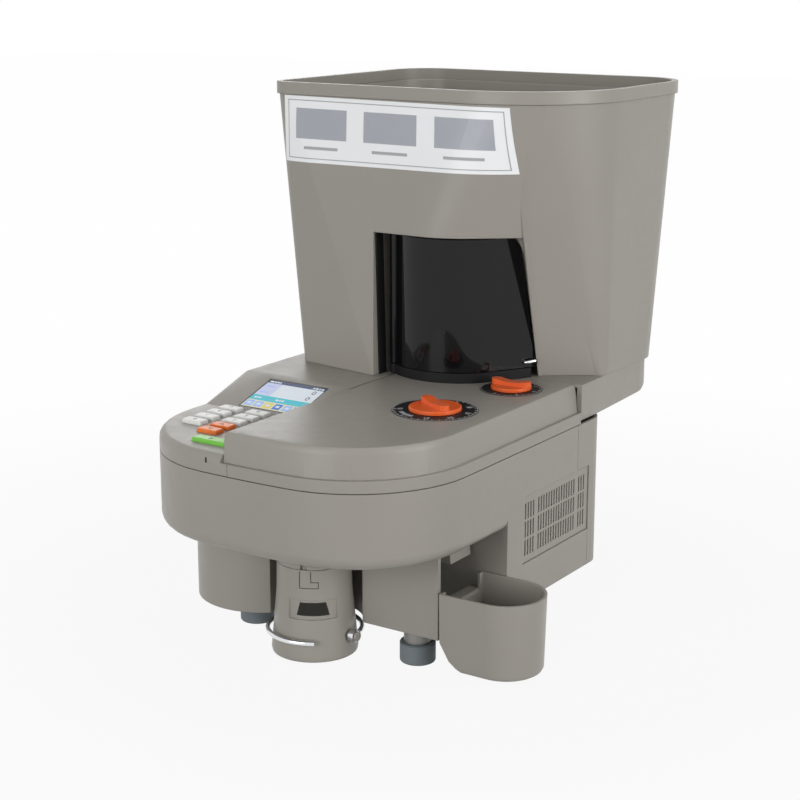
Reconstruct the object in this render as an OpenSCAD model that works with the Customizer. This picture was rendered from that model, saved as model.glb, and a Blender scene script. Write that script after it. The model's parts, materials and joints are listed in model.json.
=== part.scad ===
// High-speed coin counter and off-sorter with a large hopper, in millimetres.
// Working frame: X = 0 is the middle of the casing, Y = 0 its nose, Z = 0 the floor.
// The finished part is moved so that the origin is the middle of its underside.

/* [Casing] */
// Width of the casing at the seam
casing_w = 290; // [276:1:304]
// Depth of the casing from nose to rear wall
casing_d = 355; // [350:1:365]
// Radius of the two front corners seen from above
corner_r = 105; // [95:1:115]
// Radius of the bowed nose between the corners
nose_r = 890; // [600:10:1200]
// Radius of the two rear corners seen from above
rear_r = 25; // [15:1:30]
// Thickness of the moulded walls
wall = 3; // [2.5:0.1:3.5]
// Height of the seam under the top covers
seam_z = 178; // [174:1:184]
// Height of the underside of the nose
tray_z = 113; // [108:1:116]
// Rounding under the nose
tray_r = 10; // [8:0.5:12]
// Height of the underside of the rear casing
rear_z = 40; // [36:1:44]
// Front face of the rear casing
rear_y = 176; // [174:1:180]
// Height of the lower edge of the leg lobes
lobe_z = 30; // [26:1:32]
// Radius of the left leg lobe
lobe_r = 62; // [58:1:63]
// Front face of the right leg lobe
lobe_front = 109; // [106:1:110]
// Right end of the right leg lobe
lobe_end = 118; // [116:1:120]

/* [Top covers] */
// Height of the lip band above the seam
lip_h = 10.6; // [8:0.2:12]
// Step from the lip band in to the head cover
lip_step = 4; // [3:0.2:5]
// Height of the head cover above the seam
cover_h = 36; // [35:0.5:40]
// Height of the keypad plane above the seam
panel_h = 17; // [15:0.5:19]
// Edge between control panel and head cover
split_x = -22; // [-25:0.5:-20]
// Rear edge of both top covers
cover_d = 304; // [300:1:308]
// Shoulder rounding of the top covers
shoulder_r = 7; // [5:0.5:8]

/* [Keys and display] */
// Width of a key
key_w = 21; // [18:0.5:23]
// Depth of a key
key_d = 11; // [9:0.5:12]
// Height of a key above the panel
key_h = 3.4; // [2.5:0.1:4]
// Column pitch of the keys
key_pitch_x = 30.5; // [28:0.5:31]
// Row pitch of the keys
key_pitch_y = 16.3; // [15:0.1:16.8]
// Middle of the keypad from left to right
keypad_x = -75; // [-77:0.5:-74]
// Middle of the front row of keys
keypad_y = 52; // [50:0.5:53]
// Width of the green key
start_w = 35; // [30:0.5:37]
// Travel of a key
key_travel = 1.2; // [0.8:0.1:1.3]
// Width of the display glass
display_w = 66; // [58:0.5:70]
// Height of the display glass
display_h = 50; // [44:0.5:52]

/* [Dials] */
// Diameter dial, place from left to right
dial_x = 83; // [82:0.5:86]
// Diameter dial, place from front to back
dial_y = 158; // [154:0.5:162]
// Radius of the diameter dial's black disc
dial_r = 36.5; // [34:0.5:38]
// Radius of the diameter knob
knob_r = 22.5; // [20:0.5:24]
// Thickness dial, place from left to right
thick_x = 99; // [97:0.5:101]
// Thickness dial, place from front to back
thick_y = 258; // [254:0.5:262]
// Radius of the thickness dial's dark disc
thick_r = 27.5; // [25:0.5:28]
// Height of both knobs above the cover
knob_h = 8.4; // [7.5:0.1:8.6]

/* [Hopper] */
// Height of the hopper rim above the floor
rim_z = 474; // [450:1:500]
// Left side of the hopper rim
rim_left = -152; // [-158:1:-146]
// Right side of the hopper rim
rim_right = 158; // [152:1:164]
// Front of the hopper rim
rim_front = 244; // [240:1:248]
// Back of the hopper rim
rim_back = 487; // [475:1:500]
// Height of the rim band
rim_band = 11; // [8:0.5:14]
// Overhang of the rim band
rim_lip = 2.5; // [1.5:0.1:3.5]
// Radius of the large front right corner of the rim
rim_big_r = 100; // [85:1:108]
// Left side of the hopper at its base
bin_left = -126; // [-130:1:-122]
// Front wall of the bin at its base
bin_front = 344; // [341:1:348]
// Back wall of the bin at its base
bin_back = 470; // [462:1:474]
// Front of the left hopper block at its base
block_front = 236; // [232:1:240]
// Right face of the left hopper block at its base
block_right = -31; // [-33:0.5:-30]
// Depth of the rear skirt under the hopper
skirt_d = 476; // [474:1:482]

/* [Smoked door] */
// Middle of the door's curve, from left to right
door_x = 17; // [16:0.5:18]
// Middle of the door's curve, from front to back
door_y = 302; // [300:0.5:303]
// Outer radius of the door
door_r = 63; // [61:0.5:64]
// Thickness of the door
door_t = 3; // [2.4:0.1:3.4]
// Height of the sill under the door
sill_h = 9; // [8.9:0.1:10]
// Height of the door's top edge above the cover
door_top = 129.5; // [120:0.5:131]
// Radius of the hinge pin
pin_r = 2; // [1.6:0.1:2.4]

/* [Coin drive] */
// Middle of the feed disc, from left to right
disc_x = 6; // [4:0.5:7]
// Middle of the feed disc, from front to back
disc_y = 318; // [316:0.5:319]
// Radius of the feed disc
disc_r = 62; // [58:0.5:63]
// Radius of the disc shaft
shaft_r = 6; // [5:0.5:7]
// Radius of the disc pulley
disc_pulley_r = 24; // [20:0.5:26]
// Radius of the motor pulley
motor_pulley_r = 14; // [11:0.5:16]
// Motor, place from left to right
motor_x = -55; // [-60:1:-52]
// Motor, place from front to back
motor_y = 250; // [246:1:254]
// Radius of the motor body
motor_r = 32; // [28:0.5:34]
// Radius of the transport rollers
roller_r = 5; // [4.5:0.1:5.2]

/* [Spout] */
// Middle of the spout, from left to right
spout_x = 3; // [0:0.5:5]
// Middle of the spout, from front to back
spout_y = 92; // [90:0.5:93]
// Radius of the spout at its collar
spout_r = 32; // [31:0.2:33]
// Radius of the spout at its mouth
mouth_r = 37.5; // [36:0.2:38.5]
// Height of the spout's mouth above the floor
mouth_z = 5; // [4:0.5:8]
// Height of the joint between spout and collar
collar_z = 86; // [82:0.5:90]
// Radius of the clip wire
wire_r = 2.2; // [1.8:0.1:2.4]
// Height of the clip wire above the floor
clip_z = 24; // [22:0.5:26]

/* [Reject cup] */
// Height of the cup's underside above the floor
cup_z = 6; // [4:0.5:8]
// Height of the cup's rim above the floor
cup_top = 73; // [70:1:78]
// Middle of the cup's round end, from left to right
cup_x = 165; // [160:1:172]
// Middle of the cup, from front to back
cup_y = 140; // [139:0.5:141]
// Radius of the cup's round end
cup_r = 33.5; // [31:0.5:34]
// Thickness of the cup's wall
cup_t = 2.5; // [2:0.1:3]

/* [Feet] */
// Height of the rubber feet
foot_h = 18; // [15:0.5:20]
// Radius of the rubber feet
foot_r = 15.5; // [14.5:0.5:17]
// Radius of the steel leg posts
leg_r = 12; // [10:0.5:12]
// Half the distance between left and right feet
leg_x = 87; // [85:0.5:89]
// Front feet, from front to back
leg_front = 126; // [125:0.5:126]
// Rear feet, from front to back
leg_rear = 305; // [298:0.5:307]

/* [Hidden] */
GREY = [0.58, 0.57, 0.54];
ORANGE = [0.95, 0.36, 0.10];
GREEN = [0.40, 0.75, 0.28];
PALE = [0.82, 0.82, 0.80];
BLACK = [0.06, 0.06, 0.07];
STEEL = [0.70, 0.71, 0.73];
RUBBER = [0.36, 0.42, 0.47];
$fn = 64;
HULL_FN = 32;
EPS = 0.02;
// Thickness of the layers that a loft joins
LAYER = 0.2;
FAR = 1000;
// Clearances: face to face seat, moving gap, running fit of a shaft, seam between shells
seat = 0.2;
gap = 0.4;
run = 0.05;
seam = 0.8;

// Casing outline
half_w = casing_w / 2;
corner_x = half_w - corner_r;
corner_y = nose_r - sqrt(pow(nose_r - corner_r, 2) - pow(corner_x, 2));
nose_x = nose_r * corner_x / (nose_r - corner_r);
// Levels
top_z = seam_z + cover_h;
panel_z = seam_z + panel_h;
lip_z = seam_z + lip_h;
skin_z = seam_z + seam / 2;
plate_t = 3;
chassis_z = tray_z + wall;
tray_floor = chassis_z + plate_t;
rear_floor = rear_z + wall;
deck_t = 4;
deck_z = seam_z + 4;
deck_top = deck_z + deck_t;
rail_top = deck_top + 8;
lip_split = split_x + 7;
// Side cover seam and grille
grille_y0 = 203;
grille_z0 = 75;
grille_z1 = 135;
rear_seam_y = 300;
rear_low_y = 322;
slot_w = 2;
slot_pitch = 4.6;
slot_rows = 3;
slot_columns = 24;
// Spout and reject niches under the nose
niche_r = 42;
lobe_x = -78;
lobe_y = 130;
// Hopper
shell_top = rim_z - rim_band - 0.3;
block_z = top_z + seat;
rim_fl_r = 18;
rim_br_r = 50;
rim_bl_r = 40;
bin_r = 12;
bin_rear_r = 40;
bin_right = half_w;
brow_z = top_z + door_top + 1.5;
brow_r = door_r + 1.5;
skirt_r = 45;
skirt_bottom = 2.6;
funnel_z = top_z + 86;
bowl_t = 3;
bowl_r = disc_r + 1;
bowl_hole = bowl_r + bowl_t + 0.5;
throat_w = 84;
throat_d = 28;
// Lean of the bin's front wall
bin_lean = atan2(bin_front - rim_front, shell_top - top_z);
// Door hinge, on the curve of the door
hinge_off = -39;
mid_r = door_r - door_t / 2;
hinge_x = door_x + hinge_off;
hinge_y = door_y - sqrt(pow(mid_r, 2) - pow(hinge_off, 2));
knuckle_r = pin_r + 3;
sill_z = top_z + 0.05;
door_z = top_z + sill_h + 0.8;
door_end_z = top_z + door_top;
// Display plane behind the keypad
slope_y0 = 124;
slope_y1 = 186;
tilt = atan2(top_z - panel_z, slope_y1 - slope_y0);
display_at = 32;
// Coin track
track_x0 = 34;
track_w = 40;
track_y0 = 108;
track_y1 = 262;
fence_t = 4;
roller_x = 42;
roller_w = 10;
belt_t = 1.2;
roller_z = rail_top + 10;
roller_y = [130, 245];
gauge_x = 62;
gauge_t = 5;
gauge_h = 4.6;
pinion_r = 3;
// Drive under the deck
pulley_h = 12;
pulley_z = deck_z - 24;
belt_h = 8;
// Spout
neck_r = spout_r - 3;
neck_t = 2.3;
spout_t = 2.6;
pin_az = -48;
clip_r = mouth_r + wire_r + 1;
// Reject cup
cup_body_x = lobe_end + 3;
cup_low = cup_top - 15;
bar_x = lobe_end - 3;
bar_z = cup_low - 9;
// Middle of the whole part, which becomes its origin
mid_x = (cup_x + cup_r + 1 + rim_left - rim_lip) / 2;
mid_y = (rim_back + rim_lip) / 2;

grey_keys = [[0, 1], [0, 2], [0, 3], [0, 4], [1, 2], [1, 3], [1, 4], [2, 2], [2, 3], [2, 4]];
orange_keys = [[1, 0], [2, 0], [1, 1], [2, 1]];

// Outline of the casing seen from above, drawn in by d
module plan(d = 0, fn = 96) {
  nose_in = nose_x * (nose_r - d) / nose_r;
  for (s = [-1, 1]) {
    translate([s * corner_x, corner_y]) circle(r = corner_r - d, $fn = fn);
    translate([s * (half_w - rear_r), casing_d - rear_r]) circle(r = rear_r - d, $fn = fn / 2);
  }
  translate([-half_w + d, corner_y]) square([casing_w - 2 * d, casing_d - rear_r - corner_y]);
  translate([-half_w + rear_r, corner_y])
    square([casing_w - 2 * rear_r, casing_d - d - corner_y]);
  intersection() {
    translate([0, nose_r]) circle(r = nose_r - d, $fn = 4 * fn);
    translate([-nose_in, -1]) square([2 * nose_in, corner_y + 1]);
  }
}

// Part of the casing outline between two depths
module plan_to(d, y1, fn = 96) {
  intersection() {
    plan(d, fn);
    translate([-FAR / 2, -1]) square([FAR, y1 + 1]);
  }
}

// Thin layer of a 2D outline at a height, for lofts
module layer(z) {
  translate([0, 0, z]) linear_extrude(LAYER) children();
}

// Points of the casing outline from depth y1 on the right round the nose to x0, drawn in by d
function corner_arc(d, n = 12) = let (a1 = atan2(corner_y - nose_r, corner_x))
  [for (i = [0 : n]) let (a = a1 * i / n)
    [corner_x + (corner_r - d) * cos(a), corner_y + (corner_r - d) * sin(a)]];
function nose_arc(d, x0, n = 4) = let (x1 = nose_x * (nose_r - d) / nose_r)
  [for (i = [1 : n]) let (x = x1 + (x0 - x1) * i / n) [x, nose_r - sqrt(pow(nose_r - d, 2) - x * x)]];
function right_pts(d, x0, y1) = concat([[half_w - d, y1]], corner_arc(d), nose_arc(d, x0));
function flip_pts(p) = [for (q = p) [-q.x, q.y]];

// Front part of the casing outline as far back as y1, for lofts
module front_2d(d, y1) polygon(concat(right_pts(d, 0, y1),
  [for (i = [len(right_pts(d, 0, y1)) - 2 : -1 : 0]) let (q = right_pts(d, 0, y1)[i]) [-q.x, q.y]]));

// Solid skinned over rings of points, each ring anticlockwise seen from the last one
module skin(rings) {
  n = len(rings[0]);
  m = len(rings);
  polyhedron(points = [for (r = rings) each r], convexity = 4, faces = concat(
    [[for (j = [0 : n - 1]) j]],
    [for (i = [0 : m - 2], j = [0 : n - 1], k = [0, 1]) let (a = i * n, b = a + n, l = (j + 1) % n)
      k == 0 ? [a + j, b + j, b + l] : [a + j, b + l, a + l]],
    [[for (j = [n - 1 : -1 : 0]) (m - 1) * n + j]]));
}

// Box from two opposite corners
module span(a, b) {
  translate(a) cube(b - a);
}

// Bar with round ends along X
module slot_2d(length, width) {
  square([length - width, width], center = true);
  for (s = [-1, 1]) translate([s * (length - width) / 2, 0]) circle(d = width);
}

// Rectangle with round corners, centred
module round_rect(w, d, r, fn = HULL_FN) {
  square([w - 2 * r, d], center = true);
  square([w, d - 2 * r], center = true);
  for (sx = [-1, 1], sy = [-1, 1])
    translate([sx * (w / 2 - r), sy * (d / 2 - r)]) circle(r = r, $fn = fn);
}

// Tube standing on z0
module tube(r_out, r_in, z0, z1) {
  translate([0, 0, z0]) difference() {
    cylinder(r = r_out, h = z1 - z0);
    translate([0, 0, -1]) cylinder(r = r_in, h = z1 - z0 + 2);
  }
}

module at_spout() { translate([spout_x, spout_y, 0]) children(); }
module at_disc() { translate([disc_x, disc_y, 0]) children(); }
module at_hinge() { translate([hinge_x, hinge_y, 0]) children(); }
module at_legs() {
  for (s = [-1, 1], y = [leg_front, leg_rear]) translate([s * leg_x, y, 0]) children();
}

// Chassis, legs and feet
post_r = 5;
deck_posts = [[-118, 150], [118, 185], [-118, 275], [118, 285]];

module chassis() color(STEEL) {
  web_y = rear_y + wall + seat;
  difference() {
    union() {
      translate([0, 0, chassis_z]) linear_extrude(plate_t) plan_to(wall + 9, web_y + plate_t);
      span([-half_w + wall + 1, web_y, rear_floor], [half_w - wall - 1, web_y + plate_t, tray_floor]);
      translate([0, 0, rear_floor]) linear_extrude(plate_t) intersection() {
        plan(wall + 1);
        translate([-FAR / 2, web_y]) square([FAR, rear_low_y - web_y - 1]);
      }
      for (p = deck_posts)
        translate([p.x, p.y, p.y < web_y ? chassis_z : rear_floor])
          cylinder(r = post_r, h = deck_z - (p.y < web_y ? chassis_z : rear_floor));
    }
    at_spout() translate([0, 0, chassis_z - 1]) cylinder(r = spout_r + 1, h = plate_t + 2);
    span([chute_x0 - 1, chute_y0 - 1, chassis_z - 1], [chute_x2 + 1, chute_y1 + 1, tray_floor + 1]);
  }
}

module legs() color(STEEL) for (s = [-1, 1]) {
  translate([s * leg_x, leg_front, foot_h - 6]) cylinder(r = leg_r, h = chassis_z - foot_h + 6);
  translate([s * leg_x, leg_rear, foot_h - 6]) cylinder(r = leg_r, h = rear_floor - foot_h + 6);
}

module feet() color(RUBBER) at_legs() difference() {
  rotate_extrude() {
    square([foot_r - 2, foot_h]);
    translate([0, 2]) square([foot_r, foot_h - 3]);
    translate([foot_r - 2, 2]) circle(r = 2);
    translate([0, foot_h - 1]) square([foot_r - 0.6, 1]);
  }
  translate([0, 0, foot_h - 6]) cylinder(r = leg_r + EPS, h = 7);
}

// Lower casing and rear cover
// Rounded nose built up in rings: height above its underside and inset of each level
tray_levels = concat(
  [for (a = [0 : 18 : 90]) tray_r * [1 - cos(a), 1 - sin(a)]],
  [[seam_z - seam / 2 - LAYER - tray_z, 0]]);
inner_levels = [[wall, wall + 0.5 * tray_r], [wall + 0.5 * tray_r, wall], [seam_z - tray_z, wall]];
module ring_stack(levels, y1)
  for (i = [0 : len(levels) - 2])
    hull() {
      layer(tray_z + levels[i][0]) front_2d(levels[i][1], y1);
      layer(tray_z + levels[i + 1][0]) front_2d(levels[i + 1][1], y1);
    }
module tray_outer() ring_stack(tray_levels, rear_y + 8);
module tray_inner() ring_stack(inner_levels, rear_y + 10);

// Side view of the rear casing, drawn in by d
module rear_profile(d) {
  r = 20 - d;
  y1 = casing_d - d;
  translate([rear_y + d, rear_z + d + r]) square([casing_d - rear_y - 2 * d, seam_z - rear_z]);
  translate([rear_y + d, rear_z + d]) square([casing_d - rear_y - 2 * d - r, seam_z - rear_z]);
  translate([y1 - r, rear_z + d + r]) circle(r = r);
}

module rear_block(d, z1) intersection() {
  translate([0, 0, 0]) linear_extrude(z1) plan(d);
  rotate([90, 0, 90]) translate([0, 0, -FAR / 2]) linear_extrude(FAR) rear_profile(d);
}

module rear_shell() difference() {
  rear_block(0, seam_z - seam / 2);
  rear_block(wall, seam_z + 1);
}

// Ground of the leg lobes seen from above, drawn in by d
module lobes_2d(d) difference() {
  union() {
    intersection() {
      translate([lobe_x, lobe_y]) circle(r = lobe_r - d);
      translate([-FAR / 2, 0]) square([FAR, rear_y + 1]);
    }
    translate([lobe_x - lobe_r + d, lobe_y]) square([lobe_r, rear_y + 1 - lobe_y]);
    translate([lobe_x, lobe_front + d]) square([lobe_end - lobe_x - d, rear_y + 1 - lobe_front - d]);
  }
  translate([spout_x, spout_y]) circle(r = niche_r + d);
}

module lobe_walls() difference() {
  translate([0, 0, lobe_z]) linear_extrude(tray_z + wall / 2 - lobe_z) lobes_2d(0);
  translate([0, 0, lobe_z - 1]) linear_extrude(tray_z - lobe_z + 1 + wall) lobes_2d(wall);
  span([lobe_end - 2 * wall, lobe_front + wall + 1, lobe_z - 1], [FAR, rear_y, tray_z]);
}

// Region that belongs to the rear cover, drawn back by d
module rear_zone(d) {
  span([-FAR / 2, rear_seam_y + d, grille_z1 + gap + d], [FAR / 2, FAR, seam_z + 1]);
  span([-FAR / 2, rear_low_y + d, 0], [FAR / 2, FAR, grille_z1 + 2]);
}

module lower_casing() color(GREY) difference() {
  union() {
    difference() {
      union() {
        tray_outer();
        rear_block(0, seam_z - seam / 2);
      }
      tray_inner();
      rear_block(wall, seam_z + 1);
    }
    lobe_walls();
    // Bar that the reject cup hangs on
    span([bar_x, lobe_front + 1, bar_z], [lobe_end, rear_y + 1, cup_low - 1]);
  }
  rear_zone(-gap / 2);
  at_legs() cylinder(r = leg_r + gap, h = chassis_z + 1);
  at_spout() translate([0, 0, tray_z - 1]) cylinder(r = neck_r, h = wall + 2);
  span([chute_x0 - 1, chute_y0 - 1, tray_z - 1], [chute_x2 + 1, chute_y1 + 1, chassis_z + 1]);
  for (s = [-1, 1])
    span([s * (half_w - wall / 2) - wall, grille_y0 - gap, grille_z0 - gap],
      [s * (half_w - wall / 2) + wall, FAR, grille_z1 + gap]);
}

inlet_x = 55;
inlet_z = 84;
inlet_w = 30;
inlet_h = 22;
rocker_x = 95;
rocker_w = 13;
rocker_h = 22;
screw_r = 1.6;
screw_head_r = 3.6;
screw_places = [for (s = [-1, 1], z = [66, 160]) [s * 112, z]];

module rear_cover() color(GREY) difference() {
  intersection() {
    rear_shell();
    rear_zone(gap / 2);
  }
  at_legs() cylinder(r = leg_r + gap, h = chassis_z);
  span([inlet_x - inlet_w / 2 - gap, casing_d - wall - 1, inlet_z - inlet_h / 2 - gap],
    [inlet_x + inlet_w / 2 + gap, casing_d + 1, inlet_z + inlet_h / 2 + gap]);
  span([rocker_x - rocker_w / 2 - 3, casing_d - wall - 1, inlet_z - rocker_h / 2 - 3],
    [rocker_x + rocker_w / 2 + 3, casing_d + 1, inlet_z + rocker_h / 2 + 3]);
  for (p = screw_places)
    translate([p.x, casing_d + 1, p.y]) rotate([90, 0, 0]) cylinder(r = screw_r + gap / 2, h = wall + 2);
}

module vent_grille_2d() difference() {
  translate([grille_y0, grille_z0]) square([rear_low_y - gap - grille_y0, grille_z1 - grille_z0]);
  row_h = (grille_z1 - grille_z0 - 10) / slot_rows;
  for (row = [0 : slot_rows - 1], i = [0 : slot_columns - 1])
    if (i != 4 && i != slot_columns - 4)
      translate([grille_y0 + 4 + i * slot_pitch, grille_z0 + 6 + row * row_h])
        square([slot_w, row_h - 2.2]);
}

module vent_grilles() color(GREY) for (s = [-1, 1])
  translate([s * (half_w - wall / 2 - 0.4) - 1, 0, 0])
    rotate([90, 0, 90]) linear_extrude(2) vent_grille_2d();

// Head cover on the right
module head_plan(d, x0, y1 = cover_d) polygon(concat(right_pts(d, x0, y1), [[x0, y1]]));

module head_loft(z0, t) hull() {
  y1 = cover_d + (t > 0 ? 2 : 0);
  layer(z0) head_plan(lip_step + t, split_x + t, y1);
  layer(top_z - shoulder_r) head_plan(lip_step + t + 2, split_x + t, y1);
  layer(top_z - 0.45 * shoulder_r - t) head_plan(lip_step + t + 2.8, split_x + t + 0.6, y1);
  layer(top_z - 0.13 * shoulder_r - t) head_plan(lip_step + t + 4.4, split_x + t + 1.6, y1);
  layer(top_z - t - LAYER) head_plan(lip_step + t + 8, split_x + t + 4, y1);
}

module head_cover() color(GREY) difference() {
  union() {
    translate([0, 0, skin_z]) linear_extrude(lip_h - seam / 2) difference() {
      head_plan(0, lip_split + gap / 2);
      plan(wall);
    }
    translate([0, 0, lip_z - wall]) linear_extrude(wall) difference() {
      head_plan(0, lip_split + gap / 2);
      head_plan(lip_step + wall + 1, lip_split - 1);
    }
    head_loft(lip_z - 0.5, 0);
  }
  head_loft(lip_z - wall - 1, wall);
  translate([split_x + wall, 0, lip_z - wall - 2])
    linear_extrude(wall + 3) intersection() {
      plan(lip_step + wall + 1, 64);
      translate([0, 0]) square([FAR, FAR]);
    }
  translate([dial_x, dial_y, top_z - 2]) cylinder(r = dial_r + seat, h = FAR);
  translate([dial_x, dial_y, lip_z]) cylinder(r = pinion_r + gap, h = FAR);
  translate([thick_x, thick_y, top_z - 2]) cylinder(r = thick_r + seat, h = FAR);
  translate([thick_x, thick_y, lip_z]) cylinder(r = pinion_r + gap, h = FAR);
  at_disc() cylinder(r = bowl_hole, h = FAR);
}

// Control panel on the left: keypad plane, sloped display plane, flat rear
panel_right = split_x + 20;
shoulder_steps = 5;
// Inset and drop of the shoulder at step i of its quarter round
function shoulder_in(i) = shoulder_r * (1 - sin(90 * i / shoulder_steps));
function shoulder_down(i) = shoulder_r * (1 - cos(90 * i / shoulder_steps));
function keypad_ring(d, z, y1) =
  [for (q = concat(right_pts(d, -panel_right, y1), [[-panel_right, y1]])) [-q.x, q.y, z]];
function section_ring(y, h, t, z0) = concat([[-half_w + t, y, z0]],
  [for (i = [shoulder_steps : -1 : 0]) [-half_w + t + shoulder_in(i), y, h - t - shoulder_down(i)]],
  [[panel_right, y, h - t], [panel_right, y, z0]]);

// Keypad plane in front; the rear part starts a little inside it and rises behind it
module panel_solid(t, z0) {
  skin(concat([keypad_ring(t, z0, slope_y0)],
    [for (i = [shoulder_steps : -1 : 0])
      keypad_ring(t + shoulder_in(i), panel_z - t - shoulder_down(i), slope_y0)]));
  skin([section_ring(slope_y0 - 2, panel_z - 1, t + 0.3, z0 + (t > 0 ? 0.3 : 0)),
    section_ring(slope_y1, top_z, t, z0), section_ring(cover_d + (t > 0 ? 2 : 0), top_z, t, z0)]);
}

module at_key(c) translate([keypad_x + (c.x - 1) * key_pitch_x, keypad_y + c.y * key_pitch_y, panel_z])
  children();
start_x = keypad_x + 22;
start_y = keypad_y - 1.5 * key_pitch_y;
module at_start() translate([start_x, start_y, panel_z]) children();
module at_display()
  translate([keypad_x, slope_y0, panel_z]) rotate([tilt, 0, 0]) translate([0, display_at, 0]) children();

module control_panel() color(GREY) difference() {
  panel_solid(0, skin_z);
  panel_solid(wall, skin_z - 1);
  span([split_x - gap, -1, lip_z - EPS], [FAR, FAR, FAR]);
  span([lip_split - gap / 2, -1, 0], [FAR, FAR, FAR]);
  at_disc() cylinder(r = bowl_hole, h = FAR);
  for (c = concat(grey_keys, orange_keys))
    at_key(c) translate([0, 0, -10]) linear_extrude(20) square([key_w + 2 * gap, key_d + 2 * gap], center = true);
  at_start() translate([0, 0, -10]) linear_extrude(20)
    square([start_w + 2 * gap, key_d + 2 * gap], center = true);
  at_display() translate([0, 0, -12]) linear_extrude(24)
    square([display_w + 2 * seat, display_h + 2 * seat], center = true);
}

module display_module() color(BLACK) at_display() {
  rim = 4;
  drop = 0.8;
  translate([0, 0, -wall - 6 - drop]) linear_extrude(6) round_rect(display_w + 2 * rim, display_h + 2 * rim, 2);
  translate([0, 0, -wall - drop - EPS]) linear_extrude(wall + drop - 0.6 + EPS)
    square([display_w, display_h], center = true);
}

flange_t = 1.8;
board_t = 1.6;
board_z = -wall - seat - flange_t - key_travel - 0.3;
module key_board() color([0.1, 0.35, 0.2]) translate([keypad_x, 0, panel_z]) {
  y0 = start_y - 10;
  y1 = keypad_y + 4 * key_pitch_y + 8;
  w = 2 * key_pitch_x + key_w + 11;
  translate([0, 0, board_z - board_t]) linear_extrude(board_t) intersection() {
    translate([-w / 2, y0]) square([w, y1 - y0]);
    translate([-keypad_x, 0]) plan(wall + 6);
  }
  for (s = [-1, 1], y = [keypad_y + 8, y1 - 2.6])
    translate([s * (w / 2 - 1.8), y, board_z]) cylinder(r = 1.7, h = -board_z - wall - seat);
}

// Key cap with a flange under the panel, standing on the panel plane
module key_cap(w) {
  hull() {
    translate([0, 0, -wall - seat - EPS]) linear_extrude(wall + seat + key_h - 0.9) round_rect(w, key_d, 1.2, 16);
    translate([0, 0, key_h - EPS]) linear_extrude(EPS) round_rect(w - 1.6, key_d - 1.6, 1, 16);
  }
  translate([0, 0, -wall - seat - flange_t]) linear_extrude(flange_t) square([w + 2, key_d + 2], center = true);
}
module key_green() color(GREEN) at_start() key_cap(start_w);
module key_orange(i) color(ORANGE) at_key(orange_keys[i]) key_cap(key_w);
module key_grey(i) color(PALE) at_key(grey_keys[i]) key_cap(key_w);

// Hopper outlines seen from above, drawn in by d
function arc_pts(c, r, a0, n) = [for (i = [0 : n]) c + r * [cos(a0 + 90 * i / n), sin(a0 + 90 * i / n)]];
// Outline with four round corners: front left, front right, back right, back left
function four_pts(x0, x1, y0, y1, r, n) = concat(
  arc_pts([x0 + r[0], y0 + r[0]], r[0], 180, n[0]), arc_pts([x1 - r[1], y0 + r[1]], r[1], 270, n[1]),
  arc_pts([x1 - r[2], y1 - r[2]], r[2], 0, n[2]), arc_pts([x0 + r[3], y1 - r[3]], r[3], 90, n[3]));
rim_rs = [rim_fl_r, rim_big_r, rim_br_r, rim_bl_r];
bin_rs = [bin_r, bin_r, bin_rear_r, bin_rear_r];
ones = [1, 1, 1, 1];
module rim_outline(d, n = 1) polygon(four_pts(rim_left + d, rim_right - d, rim_front + d, rim_back - d,
  rim_rs - d * ones, n * [6, 12, 8, 8]));
module bin_outline(d) polygon(four_pts(bin_left + d, bin_right - d, bin_front + d, bin_back - d,
  bin_rs - d * ones, [4, 12, 8, 8]));

// Bin from rim to base, drawn in by d and stretched past its ends by over
module bin_loft(d, over = 0) hull() {
  layer(shell_top - LAYER) rim_outline(d);
  if (over > 0) layer(shell_top + over) rim_outline(d);
  if (over > 0) layer(top_z - over) bin_outline(d);
  layer(top_z) bin_outline(d);
}

// Left front block beside the door
module block_loft(d, z0) hull() {
  layer(shell_top - d - LAYER) polygon(concat(
    arc_pts([rim_left + rim_fl_r, rim_front + rim_fl_r], rim_fl_r - d, 180, 6),
    [[block_right - 7 - d, rim_front + d], [block_right - 7 - d, rim_front + 60], [rim_left + d, rim_front + 60]]));
  layer(z0) polygon(concat(
    arc_pts([bin_left + 14, block_front + 17], 10 - d, 180, 6),
    [[block_right - d, block_front - 5 + d], [block_right - d, bin_front + 6], [bin_left + 4 + d, bin_front + 6]]));
}

// Brow above the door
module brow_loft(d, z0) hull() {
  layer(shell_top - d - LAYER) polygon(concat(
    arc_pts([rim_right - rim_big_r, rim_front + rim_big_r], rim_big_r - d, 270, 12),
    [[block_right - 40, rim_front + rim_big_r], [block_right - 40, rim_front + d]]));
  layer(z0) polygon(concat(
    arc_pts([door_x, door_y], brow_r - d, 270, 12),
    [[block_right - 20, door_y + 30], [block_right - 20, door_y - brow_r + 1 + d]]));
}

// Skirt under the bin that overhangs the rear wall
module skirt_2d(d, y0 = cover_d + gap) polygon(concat(
  [[-half_w + d, cover_d + 34], [-half_w + d, y0], [half_w - d, y0], [half_w - d, cover_d + 34]],
  arc_pts([half_w - 5 - skirt_r, skirt_d - skirt_r], skirt_r - d, 0, 8),
  arc_pts([-half_w + 5 + skirt_r, skirt_d - skirt_r], skirt_r - d, 90, 8)));

module skirt_loft() hull() {
  layer(skin_z) skirt_2d(5);
  layer(skin_z + 2) skirt_2d(2);
  layer(skin_z + 6) skirt_2d(0.4);
  layer(skin_z + 9) skirt_2d(0);
  layer(top_z - LAYER) skirt_2d(0);
}

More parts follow.
